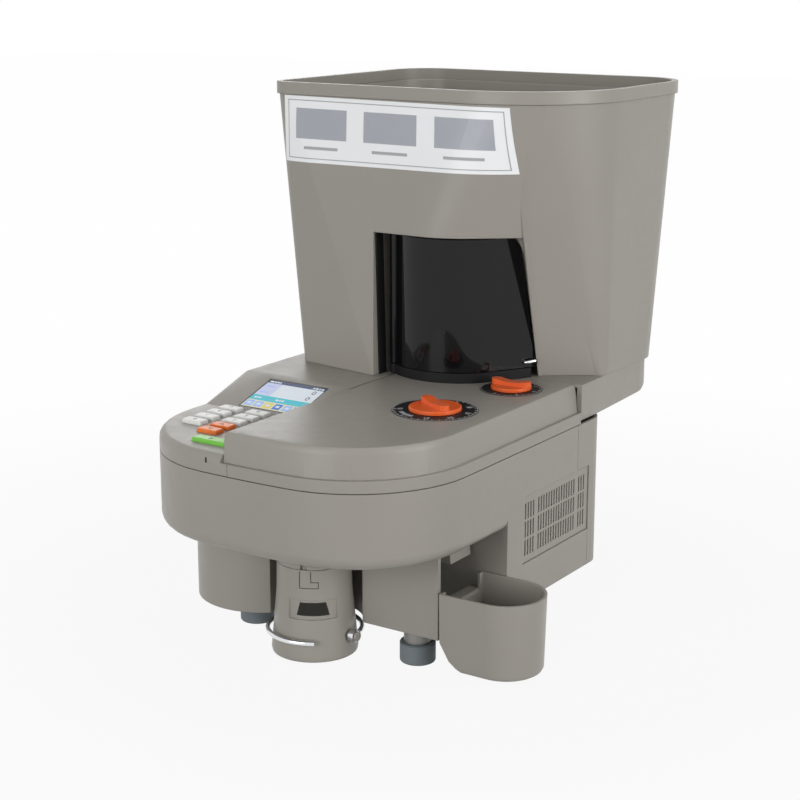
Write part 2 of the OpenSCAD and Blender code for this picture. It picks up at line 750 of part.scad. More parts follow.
module hopper_shell() color(GREY) difference() {
  union() {
    difference() {
      union() {
        block_loft(0, block_z);
        brow_loft(0, brow_z);
      }
      block_loft(wall, block_z - 1);
      brow_loft(wall, brow_z - 1);
    }
    bin_loft(0);
    skirt_loft();
    // Lug that holds the top of the door's pin
    translate([0, 0, brow_z]) linear_extrude(6) {
      translate([hinge_x - 6, door_y - brow_r + wall / 2])
        square([12, hinge_y - door_y + brow_r - wall / 2]);
      translate([hinge_x, hinge_y]) circle(r = 6);
    }
  }
  bin_loft(wall, 1);
  // Hollow of the skirt, open to the casing below and to the bowl above
  difference() {
    translate([0, 0, skin_z - 1]) linear_extrude(top_z - wall - skin_z + 1) skirt_2d(wall + 2, cover_d - 2);
    translate([-FAR / 2, casing_d + gap, skin_z - 2]) cube([FAR, FAR, skirt_bottom + 2]);
  }
  at_disc() cylinder(r = bowl_hole, h = top_z + 2);
  at_hinge() translate([0, 0, brow_z - 1]) cylinder(r = pin_r + EPS, h = 8);
}

module hopper_rim() color(GREY) translate([0, 0, rim_z - rim_band]) difference() {
  linear_extrude(rim_band) rim_outline(-rim_lip);
  translate([0, 0, -1]) linear_extrude(rim_band + 2) rim_outline(wall);
}

// Part of the bin's inner outline at the height where the funnel starts
function mix(a, b, t) = a + (b - a) * t;
funnel_t = (funnel_z - top_z) / (shell_top - top_z);
module funnel_top(d) polygon(four_pts(
  mix(bin_left, rim_left, funnel_t) + d, mix(bin_right, rim_right, funnel_t) - d,
  mix(bin_front, rim_front, funnel_t) + d, mix(bin_back, rim_back, funnel_t) - d,
  mix(bin_rs, rim_rs, funnel_t) - d * ones, ones));

module throat(d)
  translate([disc_x - throat_w / 2 + d, bin_front + wall + gap + d]) square([throat_w - 2 * d, throat_d - 2 * d]);

module hopper_funnel() color(GREY) difference() {
  hull() {
    layer(funnel_z) funnel_top(wall + gap);
    layer(top_z + 1) throat(0);
  }
  hull() {
    layer(funnel_z + 1) funnel_top(wall + gap + 2);
    layer(top_z) throat(2.5);
  }
}

// Deck with the feed disc and its drive
module deck_plate() color(STEEL) difference() {
  translate([0, 0, deck_z]) linear_extrude(deck_t) difference() {
    union() {
      intersection() {
        plan_to(wall + lip_step + 2, cover_d - 4);
        translate([-FAR / 2, spout_y - 30]) square([FAR, FAR]);
      }
      translate([disc_x - bowl_r - 6, cover_d - 5]) square([2 * bowl_r + 12, disc_y + bowl_r + 8 - cover_d]);
    }
    translate([disc_x, disc_y]) circle(r = bearing_r + 5 * EPS);
    translate([drop_x0, drop_y0]) square([drop_x1 - drop_x0, drop_y1 - drop_y0]);
    translate([chute_x0 + 2, chute_y0 + 2]) square([chute_x1 - chute_x0 - 4, 20]);
    translate([motor_x, motor_y]) circle(r = 12);
  }
}

module bowl_ring() color(STEEL) difference() {
  at_disc() tube(bowl_r + bowl_t, bowl_r, deck_top, top_z);
  // Way out to the coin track
  span([track_x0 + fence_t, track_y1 - 40, deck_top - 1], [track_x0 + track_w, disc_y - 20, rail_top + 9]);
  span([track_x0, track_y1 - 40, deck_top - 1], [track_x0 + track_w, track_y1 + 0.5, rail_top + 9]);
}

disc_t = 6;
disc_z = rail_top - disc_t;
module feed_disc() color([0.25, 0.25, 0.27]) at_disc() difference() {
  union() {
    translate([0, 0, disc_z]) cylinder(r = disc_r, h = disc_t);
    translate([0, 0, rail_top - EPS]) cylinder(r1 = 22, r2 = 12, h = 10);
    for (a = [0 : 60 : 300])
      rotate(a) translate([20, -1.5, rail_top - EPS]) cube([disc_r - 34, 3, 1.2]);
  }
  translate([0, 0, disc_z - 1]) cylinder(r = shaft_r + EPS, h = disc_t + 20);
}

module disc_shaft() color(STEEL) at_disc() {
  translate([0, 0, pulley_z]) cylinder(r = shaft_r, h = rail_top + 12 - pulley_z);
  translate([0, 0, rail_top + 10 + EPS]) cylinder(r = shaft_r + 3, h = 4);
}

bearing_r = 16;
module disc_bearing() color(STEEL) at_disc() {
  tube(bearing_r, shaft_r + run, deck_z - 6, deck_top);
  tube(bearing_r + 4, bearing_r - EPS, deck_z - 6, deck_z - seat / 4);
}

module pulley(r, bore) difference() {
  rotate_extrude() {
    square([r - 1, pulley_h]);
    square([r + 1.5, 1.6]);
    translate([0, pulley_h - 1.6]) square([r + 1.5, 1.6]);
  }
  translate([0, 0, -1]) cylinder(r = bore + EPS, h = pulley_h + 2);
}

module disc_pulley() color(STEEL) at_disc() translate([0, 0, pulley_z]) pulley(disc_pulley_r, shaft_r);

motor_shaft_r = 4;
motor_top = pulley_z - 6;
module motor() color([0.3, 0.3, 0.32]) translate([motor_x, motor_y, 0]) {
  translate([0, 0, rear_floor + plate_t]) cylinder(r = motor_r, h = motor_top - rear_floor - plate_t);
  translate([0, 0, motor_top - EPS]) cylinder(r = 10, h = 3);
  translate([0, 0, motor_top]) cylinder(r = motor_shaft_r, h = pulley_z + pulley_h + 2 - motor_top);
}

module motor_pulley() color(STEEL) translate([motor_x, motor_y, pulley_z]) difference() {
  pulley(motor_pulley_r, motor_shaft_r + run);
}

// Flat belt round two pulleys, seen from above
module belt_2d(r1, r2, d) hull() {
  translate([motor_x, motor_y]) circle(r = r1 + d, $fn = 48);
  translate([disc_x, disc_y]) circle(r = r2 + d, $fn = 48);
}
module drive_belt() color(BLACK) translate([0, 0, pulley_z + 2]) linear_extrude(belt_h) difference() {
  belt_2d(motor_pulley_r, disc_pulley_r, 1.2 - 0.6);
  belt_2d(motor_pulley_r, disc_pulley_r, -0.6);
}

// Coin track under the head cover
module coin_rail() color(STEEL) difference() {
  span([track_x0, track_y0, deck_top], [track_x0 + track_w, track_y1, rail_top]);
  at_disc() translate([0, 0, deck_top - 1]) cylinder(r = bowl_r + bowl_t + seat, h = 30);
}

module gauge_rail() color(STEEL) translate([0, 0, rail_top + seat]) {
  span([gauge_x, track_y0 + 8, 0], [gauge_x + gauge_t, track_y1 - 34, gauge_h]);
  translate([gauge_x, dial_y - pinion_r - seat - 6, 0]) cube([dial_x + 14 - gauge_x, 6, 3]);
}

module head_bracket() color(STEEL) {
  span([track_x0, track_y0 + 8, rail_top], [track_x0 + fence_t, track_y1 - 4, top_z - wall - 0.5]);
  for (y = roller_y)
    translate([track_x0 + fence_t - EPS, y, roller_z]) rotate([0, 90, 0]) {
      cylinder(r = 2, h = roller_x + roller_w + 1.5 - track_x0 - fence_t);
      cylinder(r = 3.6, h = roller_x - track_x0 - fence_t - seat);
    }
}

module roller(y) color(BLACK) translate([roller_x, y, roller_z]) rotate([0, 90, 0]) difference() {
  cylinder(r = roller_r, h = roller_w);
  translate([0, 0, -1]) cylinder(r = 2 + run, h = roller_w + 2);
}

module transport_belt() color([0.15, 0.3, 0.25])
  translate([roller_x + 1, 0, 0]) rotate([90, 0, 90]) linear_extrude(roller_w - 2) difference() {
    belt_side(roller_r + seat + belt_t);
    belt_side(roller_r + seat);
  }
module belt_side(r) {
  for (y = roller_y) translate([y, roller_z]) circle(r = r);
  translate([roller_y[0], roller_z - r]) square([roller_y[1] - roller_y[0], 2 * r]);
}

module coin_sensor() color(BLACK) {
  span([track_x0 + track_w + 0.5, 195, deck_top], [track_x0 + track_w + 10, 215, rail_top + 8]);
}

// Chutes under the deck
drop_x0 = 36;
drop_x1 = 72;
drop_y0 = 70;
drop_y1 = track_y0 - 3;
module drop_mouth(d)
  translate([drop_x0 - d, drop_y0 - d]) square([drop_x1 - drop_x0 + 2 * d, drop_y1 - drop_y0 + 2 * d]);
pipe_r = neck_r - neck_t - 1.7;
module drop_chute() color(STEEL) {
  mid_z = tray_floor + 14;
  difference() {
    hull() {
      layer(deck_z - LAYER) drop_mouth(2);
      layer(mid_z) translate([spout_x, spout_y]) square(51, center = true);
    }
    hull() {
      layer(deck_z + 1) drop_mouth(0);
      layer(mid_z - 1) translate([spout_x, spout_y]) square(47, center = true);
    }
  }
  at_spout() difference() {
    union() {
      translate([-28, -28, mid_z - 2]) cube([56, 56, 2.5]);
      translate([0, 0, tray_z - 4]) cylinder(r = pipe_r, h = mid_z - tray_z + 3);
    }
    translate([0, 0, tray_z - 5]) cylinder(r = pipe_r - 2, h = mid_z);
  }
}

chute_x0 = 76;
chute_x1 = 100;
chute_x2 = bar_x - 4;
chute_y0 = 140;
chute_y1 = 172;
module chute_slice(x0, x1, d)
  translate([x0 + d, chute_y0 + d]) square([x1 - x0 - 2 * d, chute_y1 - chute_y0 - 2 * d]);
module reject_chute() color(STEEL) difference() {
  hull() {
    layer(deck_z - seat) chute_slice(chute_x0, chute_x1, 0);
    layer(tray_z - 26) chute_slice(chute_x2 - 20, chute_x2, 0);
  }
  hull() {
    layer(deck_z + 1) chute_slice(chute_x0, chute_x1, 2);
    layer(tray_z - 27) chute_slice(chute_x2 - 20, chute_x2, 2);
  }
}

// Dials
module dial_plate(x, y, r) translate([x, y, top_z - 2 + EPS]) difference() {
  cylinder(r = r, h = 2.4);
  translate([0, 0, -1]) cylinder(r = pinion_r + run, h = 5);
}
module dial_plates() color(BLACK) {
  dial_plate(dial_x, dial_y, dial_r);
  dial_plate(thick_x, thick_y, thick_r);
}

// Knob with a dished grip fin, standing on its plate
module knob(r, grip, turn) {
  base = 0.7;
  skirt = 3.2;
  translate([0, 0, base]) rotate_extrude() {
    square([r - 1, skirt]);
    square([r, skirt - 1]);
    translate([r - 1, skirt - 1]) circle(r = 1);
  }
  rotate(turn) difference() {
    translate([0, 0, base + skirt - EPS]) linear_extrude(knob_h - base - skirt) slot_2d(grip, 10);
    translate([0, 0, knob_h + 58]) rotate([90, 0, 0]) cylinder(r = 59.5, h = 40, center = true);
  }
}
module diameter_knob() color(ORANGE) translate([dial_x, dial_y, top_z]) {
  knob(knob_r, 2 * knob_r - 3, -32);
  translate([0, 0, deck_top + seat - top_z]) cylinder(r = pinion_r, h = top_z - deck_top + 1);
}
module thickness_knob() color(ORANGE) translate([thick_x, thick_y, top_z]) {
  knob(18, 38, 2);
  translate([0, 0, deck_top + seat - top_z]) cylinder(r = pinion_r, h = top_z - deck_top + 1);
}

// Curve of the door seen from above: arc from the hinge, then a straight tail
function door_arc(r, a0, n) = [for (i = [0 : n]) let (a = a0 + (tail_az - a0) * i / n)
  [door_x + r * cos(a), door_y + r * sin(a)]];
tail_az = -4;
module door_2d(r_out, r_in, tail) {
  az0 = atan2(hinge_y - door_y, hinge_x - door_x);
  along = tail * [-sin(tail_az), cos(tail_az)];
  outer = door_arc(r_out, az0, 30);
  inner = door_arc(r_in, az0, 30);
  polygon(concat(outer, [outer[30] + along, inner[30] + along], [for (i = [30 : -1 : 0]) inner[i]]));
}

// Space taken by the bin's leaning front wall, grown by d
module bin_space(d)
  translate([0, bin_front - d, top_z]) rotate([bin_lean, 0, 0]) translate([-FAR / 2, 0, -100]) cube([FAR, FAR, FAR]);

module smoked_door() color(BLACK, 0.6) difference() {
  union() {
    translate([0, 0, door_z]) linear_extrude(door_end_z - door_z)
      door_2d(door_r, door_r - door_t, bin_front - door_y);
    at_hinge() translate([0, 0, door_z]) cylinder(r = knuckle_r, h = door_end_z - door_z);
  }
  bin_space(gap + 0.6);
  at_hinge() translate([0, 0, door_z - 1]) cylinder(r = pin_r + run, h = door_top);
  // Round upper right corner
  corner = 24;
  y1 = bin_front - (door_end_z - top_z) * tan(bin_lean);
  difference() {
    span([door_x + 20, y1 - corner - 6, door_end_z - corner], [FAR, FAR, FAR]);
    translate([door_x, y1 - corner - 6, door_end_z - corner]) rotate([0, 90, 0]) cylinder(r = corner, h = FAR);
  }
}

module door_pin() color(STEEL) at_hinge()
  translate([0, 0, sill_z + seat]) cylinder(r = pin_r, h = brow_z + 6 - sill_z - seat);

module door_sill() color(BLACK) difference() {
  translate([0, 0, sill_z]) linear_extrude(sill_h) union() {
    door_2d(door_r, door_r - door_t - 1, bin_front - sill_h - door_y - 1);
    translate([hinge_x, hinge_y]) circle(r = knuckle_r);
  }
  at_hinge() translate([0, 0, sill_z - 1]) cylinder(r = pin_r + EPS, h = sill_h + 2);
  bin_space(gap);
}

// Spout for the coin bag
module spout_collar() color(GREY) difference() {
  at_spout() {
    tube(spout_r, neck_r + gap, collar_z, tray_z);
    tube(spout_r + 4, neck_r + gap, tray_z - 3, tray_z);
  }
  // Bayonet slot for the spout's pin
  at_spout() {
    translate([0, 0, collar_z + 9 - pin_slot]) rotate(pin_az - 29) rotate_extrude(angle = 36)
      translate([neck_r - 1, 0]) square([10, 2 * pin_slot]);
    rotate(pin_az - 22) translate([neck_r - 1, -pin_slot, collar_z - 1]) cube([10, 2 * pin_slot, 10]);
  }
}
pin_slot = 3;

module bag_spout() color(GREY) {
  difference() {
    union() {
      at_spout() rotate_extrude() polygon([
        [neck_r - neck_t, collar_z + 20], [neck_r, collar_z + 20], [neck_r, collar_z - gap],
        [spout_r, collar_z - gap], [spout_r + 0.6, collar_z - 26], [mouth_r, mouth_z + 3],
        [mouth_r - 0.6, mouth_z], [mouth_r - spout_t, mouth_z], [spout_r - spout_t, collar_z - 26],
        [neck_r - neck_t, collar_z - 4]]);
      at_spout() rotate(pin_az) translate([neck_r - 1, 0, collar_z + 9]) rotate([0, 90, 0])
        cylinder(r = 2.4, h = spout_r - neck_r + 3);
    }
    // Recessed band and sight window facing the user
    at_spout() translate([0, 0, collar_z - 44]) rotate(-56 - 38) rotate_extrude(angle = 76)
      translate([spout_r + 0.2, 0]) square([20, 17]);
    at_spout() rotate(-56) translate([spout_r - 8, 0, collar_z - 42]) rotate([90, 0, 90])
      linear_extrude(20) polygon([[-14, 1], [14, 1], [11, 13], [-11, 13]]);
  }
  // Eye screw for the clip
  at_spout() translate([0, 0, clip_z]) rotate([0, 90, 0]) {
    translate([0, 0, mouth_r - 3]) cylinder(r = 2.5, h = clip_r + 4 - mouth_r + 3);
    translate([0, 0, clip_r + 3]) cylinder(r = 4, h = 2);
  }
}

module bag_clip() color(STEEL) at_spout() translate([0, 0, clip_z]) {
  eye_r = 5.4;
  difference() {
    union() {
      for (a = [5, 155]) rotate(a) rotate_extrude(angle = 150.4) translate([clip_r, 0]) circle(r = wire_r, $fn = 24);
      translate([clip_r - 2.6, 0, 0]) rotate([0, 90, 0]) cylinder(r = eye_r, h = 5.2);
    }
    translate([clip_r - 4, 0, 0]) rotate([0, 90, 0]) cylinder(r = 2.5 + run, h = 12);
  }
}

// Reject cup
module cup_plan(d) {
  translate([cup_x, cup_y]) circle(r = cup_r - d);
  translate([cup_body_x + d, cup_y - cup_r + d]) square([cup_x - cup_body_x - d, 2 * (cup_r - d)]);
}
// Side view of the cup, with the lower corner towards the body cut off
module cup_side(d) polygon([[cup_body_x + d, 200], [cup_body_x + d, cup_z + 24 + d], [cup_body_x + 9, cup_z + 9 + d],
  [cup_body_x + 21, cup_z + d], [cup_x + 200, cup_z + d], [cup_x + 200, 200]]);
module cup_loft(d) intersection() {
  hull() {
    layer(cup_z + d) cup_plan(4 + d);
    layer(cup_z + d + 1.2) cup_plan(2 + d);
    layer(cup_z + d + 4) cup_plan(0.6 + d);
    layer(cup_top - EPS + d) cup_plan(d - 1);
  }
  translate([0, FAR / 2, 0]) rotate([90, 0, 0]) linear_extrude(FAR) cup_side(d);
}
module reject_cup() color(GREY) {
  difference() {
    cup_loft(0);
    cup_loft(cup_t);
    span([cup_body_x - 2, cup_y - cup_r + 6, cup_low], [cup_body_x + 8, cup_y + cup_r - 6, FAR]);
  }
  // Hook over the casing's bar
  hook_y0 = lobe_front + wall + 4;
  hook_y1 = rear_y - 6;
  translate([bar_x - 3.4, hook_y0, cup_low - 1 + seat]) cube([cup_body_x + 1.5 - bar_x + 3.4, hook_y1 - hook_y0, 2.5]);
  translate([bar_x - 3.4, hook_y0, cup_low - 7]) cube([2.6, hook_y1 - hook_y0, 7]);
}

// Power parts on the rear
module power_supply() color(STEEL)
  span([20, rear_y + 14, rear_floor + plate_t], [104, rear_y + 104, rear_floor + plate_t + 58]);

module power_inlet() color(BLACK) difference() {
  union() {
    span([inlet_x - inlet_w / 2, casing_d - 22, inlet_z - inlet_h / 2], [inlet_x + inlet_w / 2, casing_d + 1, inlet_z + inlet_h / 2]);
    span([rocker_x - rocker_w / 2 - 2.6, casing_d - 18, inlet_z - rocker_h / 2 - 2.6],
      [rocker_x + rocker_w / 2 + 2.6, casing_d + 1, inlet_z + rocker_h / 2 + 2.6]);
    span([inlet_x - inlet_w / 2 - 4, casing_d + seat / 2, inlet_z - rocker_h / 2 - 5],
      [rocker_x + rocker_w / 2 + 5, casing_d + 2, inlet_z + rocker_h / 2 + 5]);
  }
  span([inlet_x - inlet_w / 2 + 3, casing_d - 14, inlet_z - inlet_h / 2 + 3],
    [inlet_x + inlet_w / 2 - 3, casing_d + 5, inlet_z + inlet_h / 2 - 3]);
  span([rocker_x - rocker_w / 2, casing_d - 14, inlet_z - rocker_h / 2], [rocker_x + rocker_w / 2, casing_d + 5, inlet_z + rocker_h / 2]);
  translate([rocker_x, casing_d - 5, inlet_z]) rotate([0, 90, 0]) cylinder(r = 1.5 + run, h = rocker_w + 3, center = true);
}

module power_switch() color(BLACK) translate([rocker_x, casing_d - 5, inlet_z]) rotate([-7, 0, 0]) rotate([90, 0, 90]) {
  w = rocker_w - 0.6;
  h = rocker_h / 2 - 0.9;
  translate([0, 0, -w / 2]) linear_extrude(w) polygon([[-4, -h + 2], [4.2, -h], [8.4, -h + 0.6], [6.4, 0], [8.4, h - 0.6], [4.2, h], [-4, h - 2]]);
  translate([0, 0, -rocker_w / 2 - 1.2]) cylinder(r = 1.5, h = rocker_w + 2.4);
}

module case_screws() color(STEEL) for (p = screw_places)
  translate([p.x, casing_d, p.y]) rotate([90, 0, 0]) {
    translate([0, 0, -1.8]) cylinder(r = screw_head_r, h = 1.8 - EPS);
    translate([0, 0, -1]) cylinder(r = screw_r, h = 8);
  }

module placed() translate([-mid_x, -mid_y, 0]) children();

placed() chassis();
placed() legs();
placed() feet();
placed() lower_casing();
placed() rear_cover();
placed() vent_grilles();
placed() head_cover();
placed() control_panel();
placed() display_module();
placed() key_board();
placed() key_green();
for (i = [0 : 3]) placed() key_orange(i);
for (i = [0 : 9]) placed() key_grey(i);
placed() hopper_shell();
placed() hopper_rim();
placed() hopper_funnel();
placed() deck_plate();
placed() bowl_ring();
placed() feed_disc();
placed() disc_shaft();
placed() disc_bearing();
placed() disc_pulley();
placed() drive_belt();
placed() motor();
placed() motor_pulley();
placed() coin_rail();
placed() gauge_rail();
placed() head_bracket();
placed() roller(roller_y[1]);  // rear_roller
placed() roller(roller_y[0]);  // front_roller
placed() transport_belt();
placed() coin_sensor();
placed() drop_chute();
placed() reject_chute();
placed() dial_plates();
placed() diameter_knob();
placed() thickness_knob();
placed() smoked_door();
placed() door_pin();
placed() door_sill();
placed() spout_collar();
placed() bag_spout();
placed() bag_clip();
placed() reject_cup();
placed() power_supply();
placed() power_inlet();
placed() power_switch();
placed() case_screws();
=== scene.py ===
"""Finishes, smooth skins, hopper front, door, markings and small fittings of a coin counter.

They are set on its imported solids. Everything is in metres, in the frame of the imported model, unless a class
says that its sizes are millimetres of the drawing.
"""

import json
import logging
import math
from dataclasses import dataclass, field
from enum import Enum
from typing import Optional, Sequence

import bmesh
import bpy
from mathutils import Euler, Matrix, Vector
from mathutils.bvhtree import BVHTree
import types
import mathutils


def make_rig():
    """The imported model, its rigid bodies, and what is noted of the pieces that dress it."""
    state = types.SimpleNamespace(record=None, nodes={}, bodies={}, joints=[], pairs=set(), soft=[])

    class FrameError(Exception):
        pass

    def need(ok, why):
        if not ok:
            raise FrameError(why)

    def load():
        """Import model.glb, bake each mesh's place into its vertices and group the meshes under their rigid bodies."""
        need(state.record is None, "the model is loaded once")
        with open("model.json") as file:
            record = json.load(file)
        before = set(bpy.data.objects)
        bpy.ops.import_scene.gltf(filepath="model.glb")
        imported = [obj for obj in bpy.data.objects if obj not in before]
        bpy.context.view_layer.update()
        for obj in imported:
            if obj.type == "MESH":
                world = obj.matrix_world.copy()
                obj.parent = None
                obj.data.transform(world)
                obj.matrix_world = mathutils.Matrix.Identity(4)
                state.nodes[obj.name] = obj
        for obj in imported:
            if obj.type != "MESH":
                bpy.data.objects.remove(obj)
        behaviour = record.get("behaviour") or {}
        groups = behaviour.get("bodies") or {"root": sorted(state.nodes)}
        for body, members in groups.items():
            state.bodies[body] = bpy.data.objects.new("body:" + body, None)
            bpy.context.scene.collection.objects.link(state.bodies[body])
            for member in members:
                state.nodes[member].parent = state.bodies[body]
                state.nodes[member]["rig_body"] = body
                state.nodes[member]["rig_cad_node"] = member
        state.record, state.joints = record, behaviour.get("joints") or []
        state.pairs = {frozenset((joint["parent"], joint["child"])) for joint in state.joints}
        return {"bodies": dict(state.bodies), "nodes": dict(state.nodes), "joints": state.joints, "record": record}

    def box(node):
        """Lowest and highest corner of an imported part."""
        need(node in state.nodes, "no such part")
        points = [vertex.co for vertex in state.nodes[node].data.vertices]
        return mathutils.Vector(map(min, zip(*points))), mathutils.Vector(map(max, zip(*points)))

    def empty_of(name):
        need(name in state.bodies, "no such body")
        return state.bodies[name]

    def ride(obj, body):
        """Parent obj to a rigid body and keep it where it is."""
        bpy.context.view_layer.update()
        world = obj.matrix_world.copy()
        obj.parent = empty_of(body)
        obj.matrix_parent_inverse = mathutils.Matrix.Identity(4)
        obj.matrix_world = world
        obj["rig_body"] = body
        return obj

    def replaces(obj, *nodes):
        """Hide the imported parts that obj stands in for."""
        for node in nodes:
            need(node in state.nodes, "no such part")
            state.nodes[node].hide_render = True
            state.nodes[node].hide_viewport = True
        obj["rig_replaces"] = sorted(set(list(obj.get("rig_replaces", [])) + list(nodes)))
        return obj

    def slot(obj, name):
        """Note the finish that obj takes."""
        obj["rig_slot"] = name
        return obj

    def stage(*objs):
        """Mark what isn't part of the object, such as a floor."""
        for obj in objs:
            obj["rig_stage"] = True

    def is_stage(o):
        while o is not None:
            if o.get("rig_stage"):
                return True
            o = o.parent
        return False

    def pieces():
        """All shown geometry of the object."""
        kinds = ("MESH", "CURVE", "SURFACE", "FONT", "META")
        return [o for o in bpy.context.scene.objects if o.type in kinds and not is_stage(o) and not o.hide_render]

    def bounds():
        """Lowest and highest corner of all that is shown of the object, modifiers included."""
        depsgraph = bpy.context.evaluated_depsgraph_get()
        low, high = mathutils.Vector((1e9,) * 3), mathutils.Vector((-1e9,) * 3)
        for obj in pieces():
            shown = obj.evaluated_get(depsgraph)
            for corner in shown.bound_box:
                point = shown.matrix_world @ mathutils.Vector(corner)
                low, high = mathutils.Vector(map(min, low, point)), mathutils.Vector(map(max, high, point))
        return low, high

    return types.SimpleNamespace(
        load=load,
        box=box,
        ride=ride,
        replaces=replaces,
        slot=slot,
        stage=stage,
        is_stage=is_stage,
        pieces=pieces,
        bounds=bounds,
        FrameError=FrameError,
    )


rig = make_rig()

# Where the drawing's zero lies in the part's frame, in millimetres.
MM = 0.001
DRAWING_SHIFT = (-22.5, -244.75)
# Distances at which points join, and a figure's height as a share of its font size.
WELD = 0.004 * MM
SLIVER = 0.001 * MM
MARK_WELD = 1e-7
CAP_SHARE = 0.72
FIGURE_STEPS = 4
BAND_STEP = 5
WHITE = (1.0, 1.0, 1.0, 1.0)
Colour = tuple[float, float, float]
Point2 = tuple[float, float]
Point3 = tuple[float, float, float]
Grid = list[list[Vector]]
log = logging.getLogger("coin_counter")


def clear_start_up() -> None:
    """Remove the objects that Blender opens with."""
    for obj in list(bpy.data.objects):
        bpy.data.objects.remove(obj)


clear_start_up()
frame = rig.load()
cad_low, cad_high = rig.bounds()


class Grain(Enum):
    """Relief of a surface, as the stretch of its noise along X, Y and Z."""

    SPARKED = (1.0, 1.0, 1.0)
    SATIN = (0.35, 0.35, 0.35)
    BRUSHED = (0.06, 1.0, 1.0)
    PORES = (0.8, 0.8, 0.8)
    POLISHED = (0.08, 0.08, 0.08)


class ShaderDesk:
    """Node tree of one finish, filled node by node."""

    def __init__(self, name: str) -> None:
        """Start an empty tree.

        Args:
            name: Name of the material.
        """
        self.material = bpy.data.materials.new(name)
        self.material.use_nodes = True
        self.tree = self.material.node_tree
        self.tree.nodes.clear()
        self.output = self.node("ShaderNodeOutputMaterial")

    def node(self, kind: str, **values: object) -> bpy.types.Node:
        """Add a node.

        Args:
            kind: Blender's name of the node.
            values: Properties or input values by name, with _ for a space.

        Returns:
            The node.
        """
        made = self.tree.nodes.new(kind)
        for key, value in values.items():
            socket = made.inputs.get(key.replace("_", " "))
            if socket is not None:
                socket.default_value = value
            else:
                setattr(made, key, value)
        return made

    def link(self, source: bpy.types.NodeSocket, target: bpy.types.NodeSocket) -> None:
        """Join two sockets."""
        self.tree.links.new(source, target)

    def noise(self, place: bpy.types.NodeSocket, scale: float, detail: float) -> bpy.types.NodeSocket:
        """Add cloud noise.

        Args:
            place: Coordinates.
            scale: Clouds per metre.
            detail: Levels of detail.

        Returns:
            Socket of the noise between 0 and 1.
        """
        made = self.node("ShaderNodeTexNoise", Scale=scale, Detail=detail)
        self.link(place, made.inputs["Vector"])
        return made.outputs["Fac"]

    def spread(self, value: bpy.types.NodeSocket, start: Point2, end: Point2) -> bpy.types.NodeSocket:
        """Map a value from one range to another.

        Args:
            value: Socket of the value.
            start: Range that comes in.
            end: Range that goes out.

        Returns:
            Socket of the mapped value.
        """
        made = self.node("ShaderNodeMapRange", From_Min=start[0], From_Max=start[1],
                         To_Min=end[0], To_Max=end[1])
        self.link(value, made.inputs["Value"])
        return made.outputs["Result"]

    def mix(self, share: bpy.types.NodeSocket, low: object, high: object) -> bpy.types.NodeSocket:
        """Mix two colours.

        Args:
            share: Socket that picks between them.
            low: Colour or socket at 0.
            high: Colour or socket at 1.

        Returns:
            Socket of the mixed colour.
        """
        made = self.node("ShaderNodeMix", data_type="RGBA")
        self.link(share, made.inputs["Factor"])
        pair = [s for s in made.inputs if s.type == "RGBA"]
        for socket, value in zip(pair, (low, high)):
            if isinstance(value, tuple):
                socket.default_value = (*value, 1.0)
            else:
                self.link(value, socket)
        return next(s for s in made.outputs if s.type == "RGBA")


# Detail that all finishes share.
PLASTIC_INDEX = 1.49
COAT_ROUGH = 0.08
CLOUD_DETAIL = 5.0
GRAIN_DETAIL = 3.0
SMEAR_DETAIL = 4.0
SMEAR_FINER = 6
SMEAR_RANGE = (0.3, 0.7)
EDGE_SAMPLES = 6
RUB_RANGE = (0.80, 0.985)
RUB_GAIN = 1.5
RUB_LIFT = 0.05


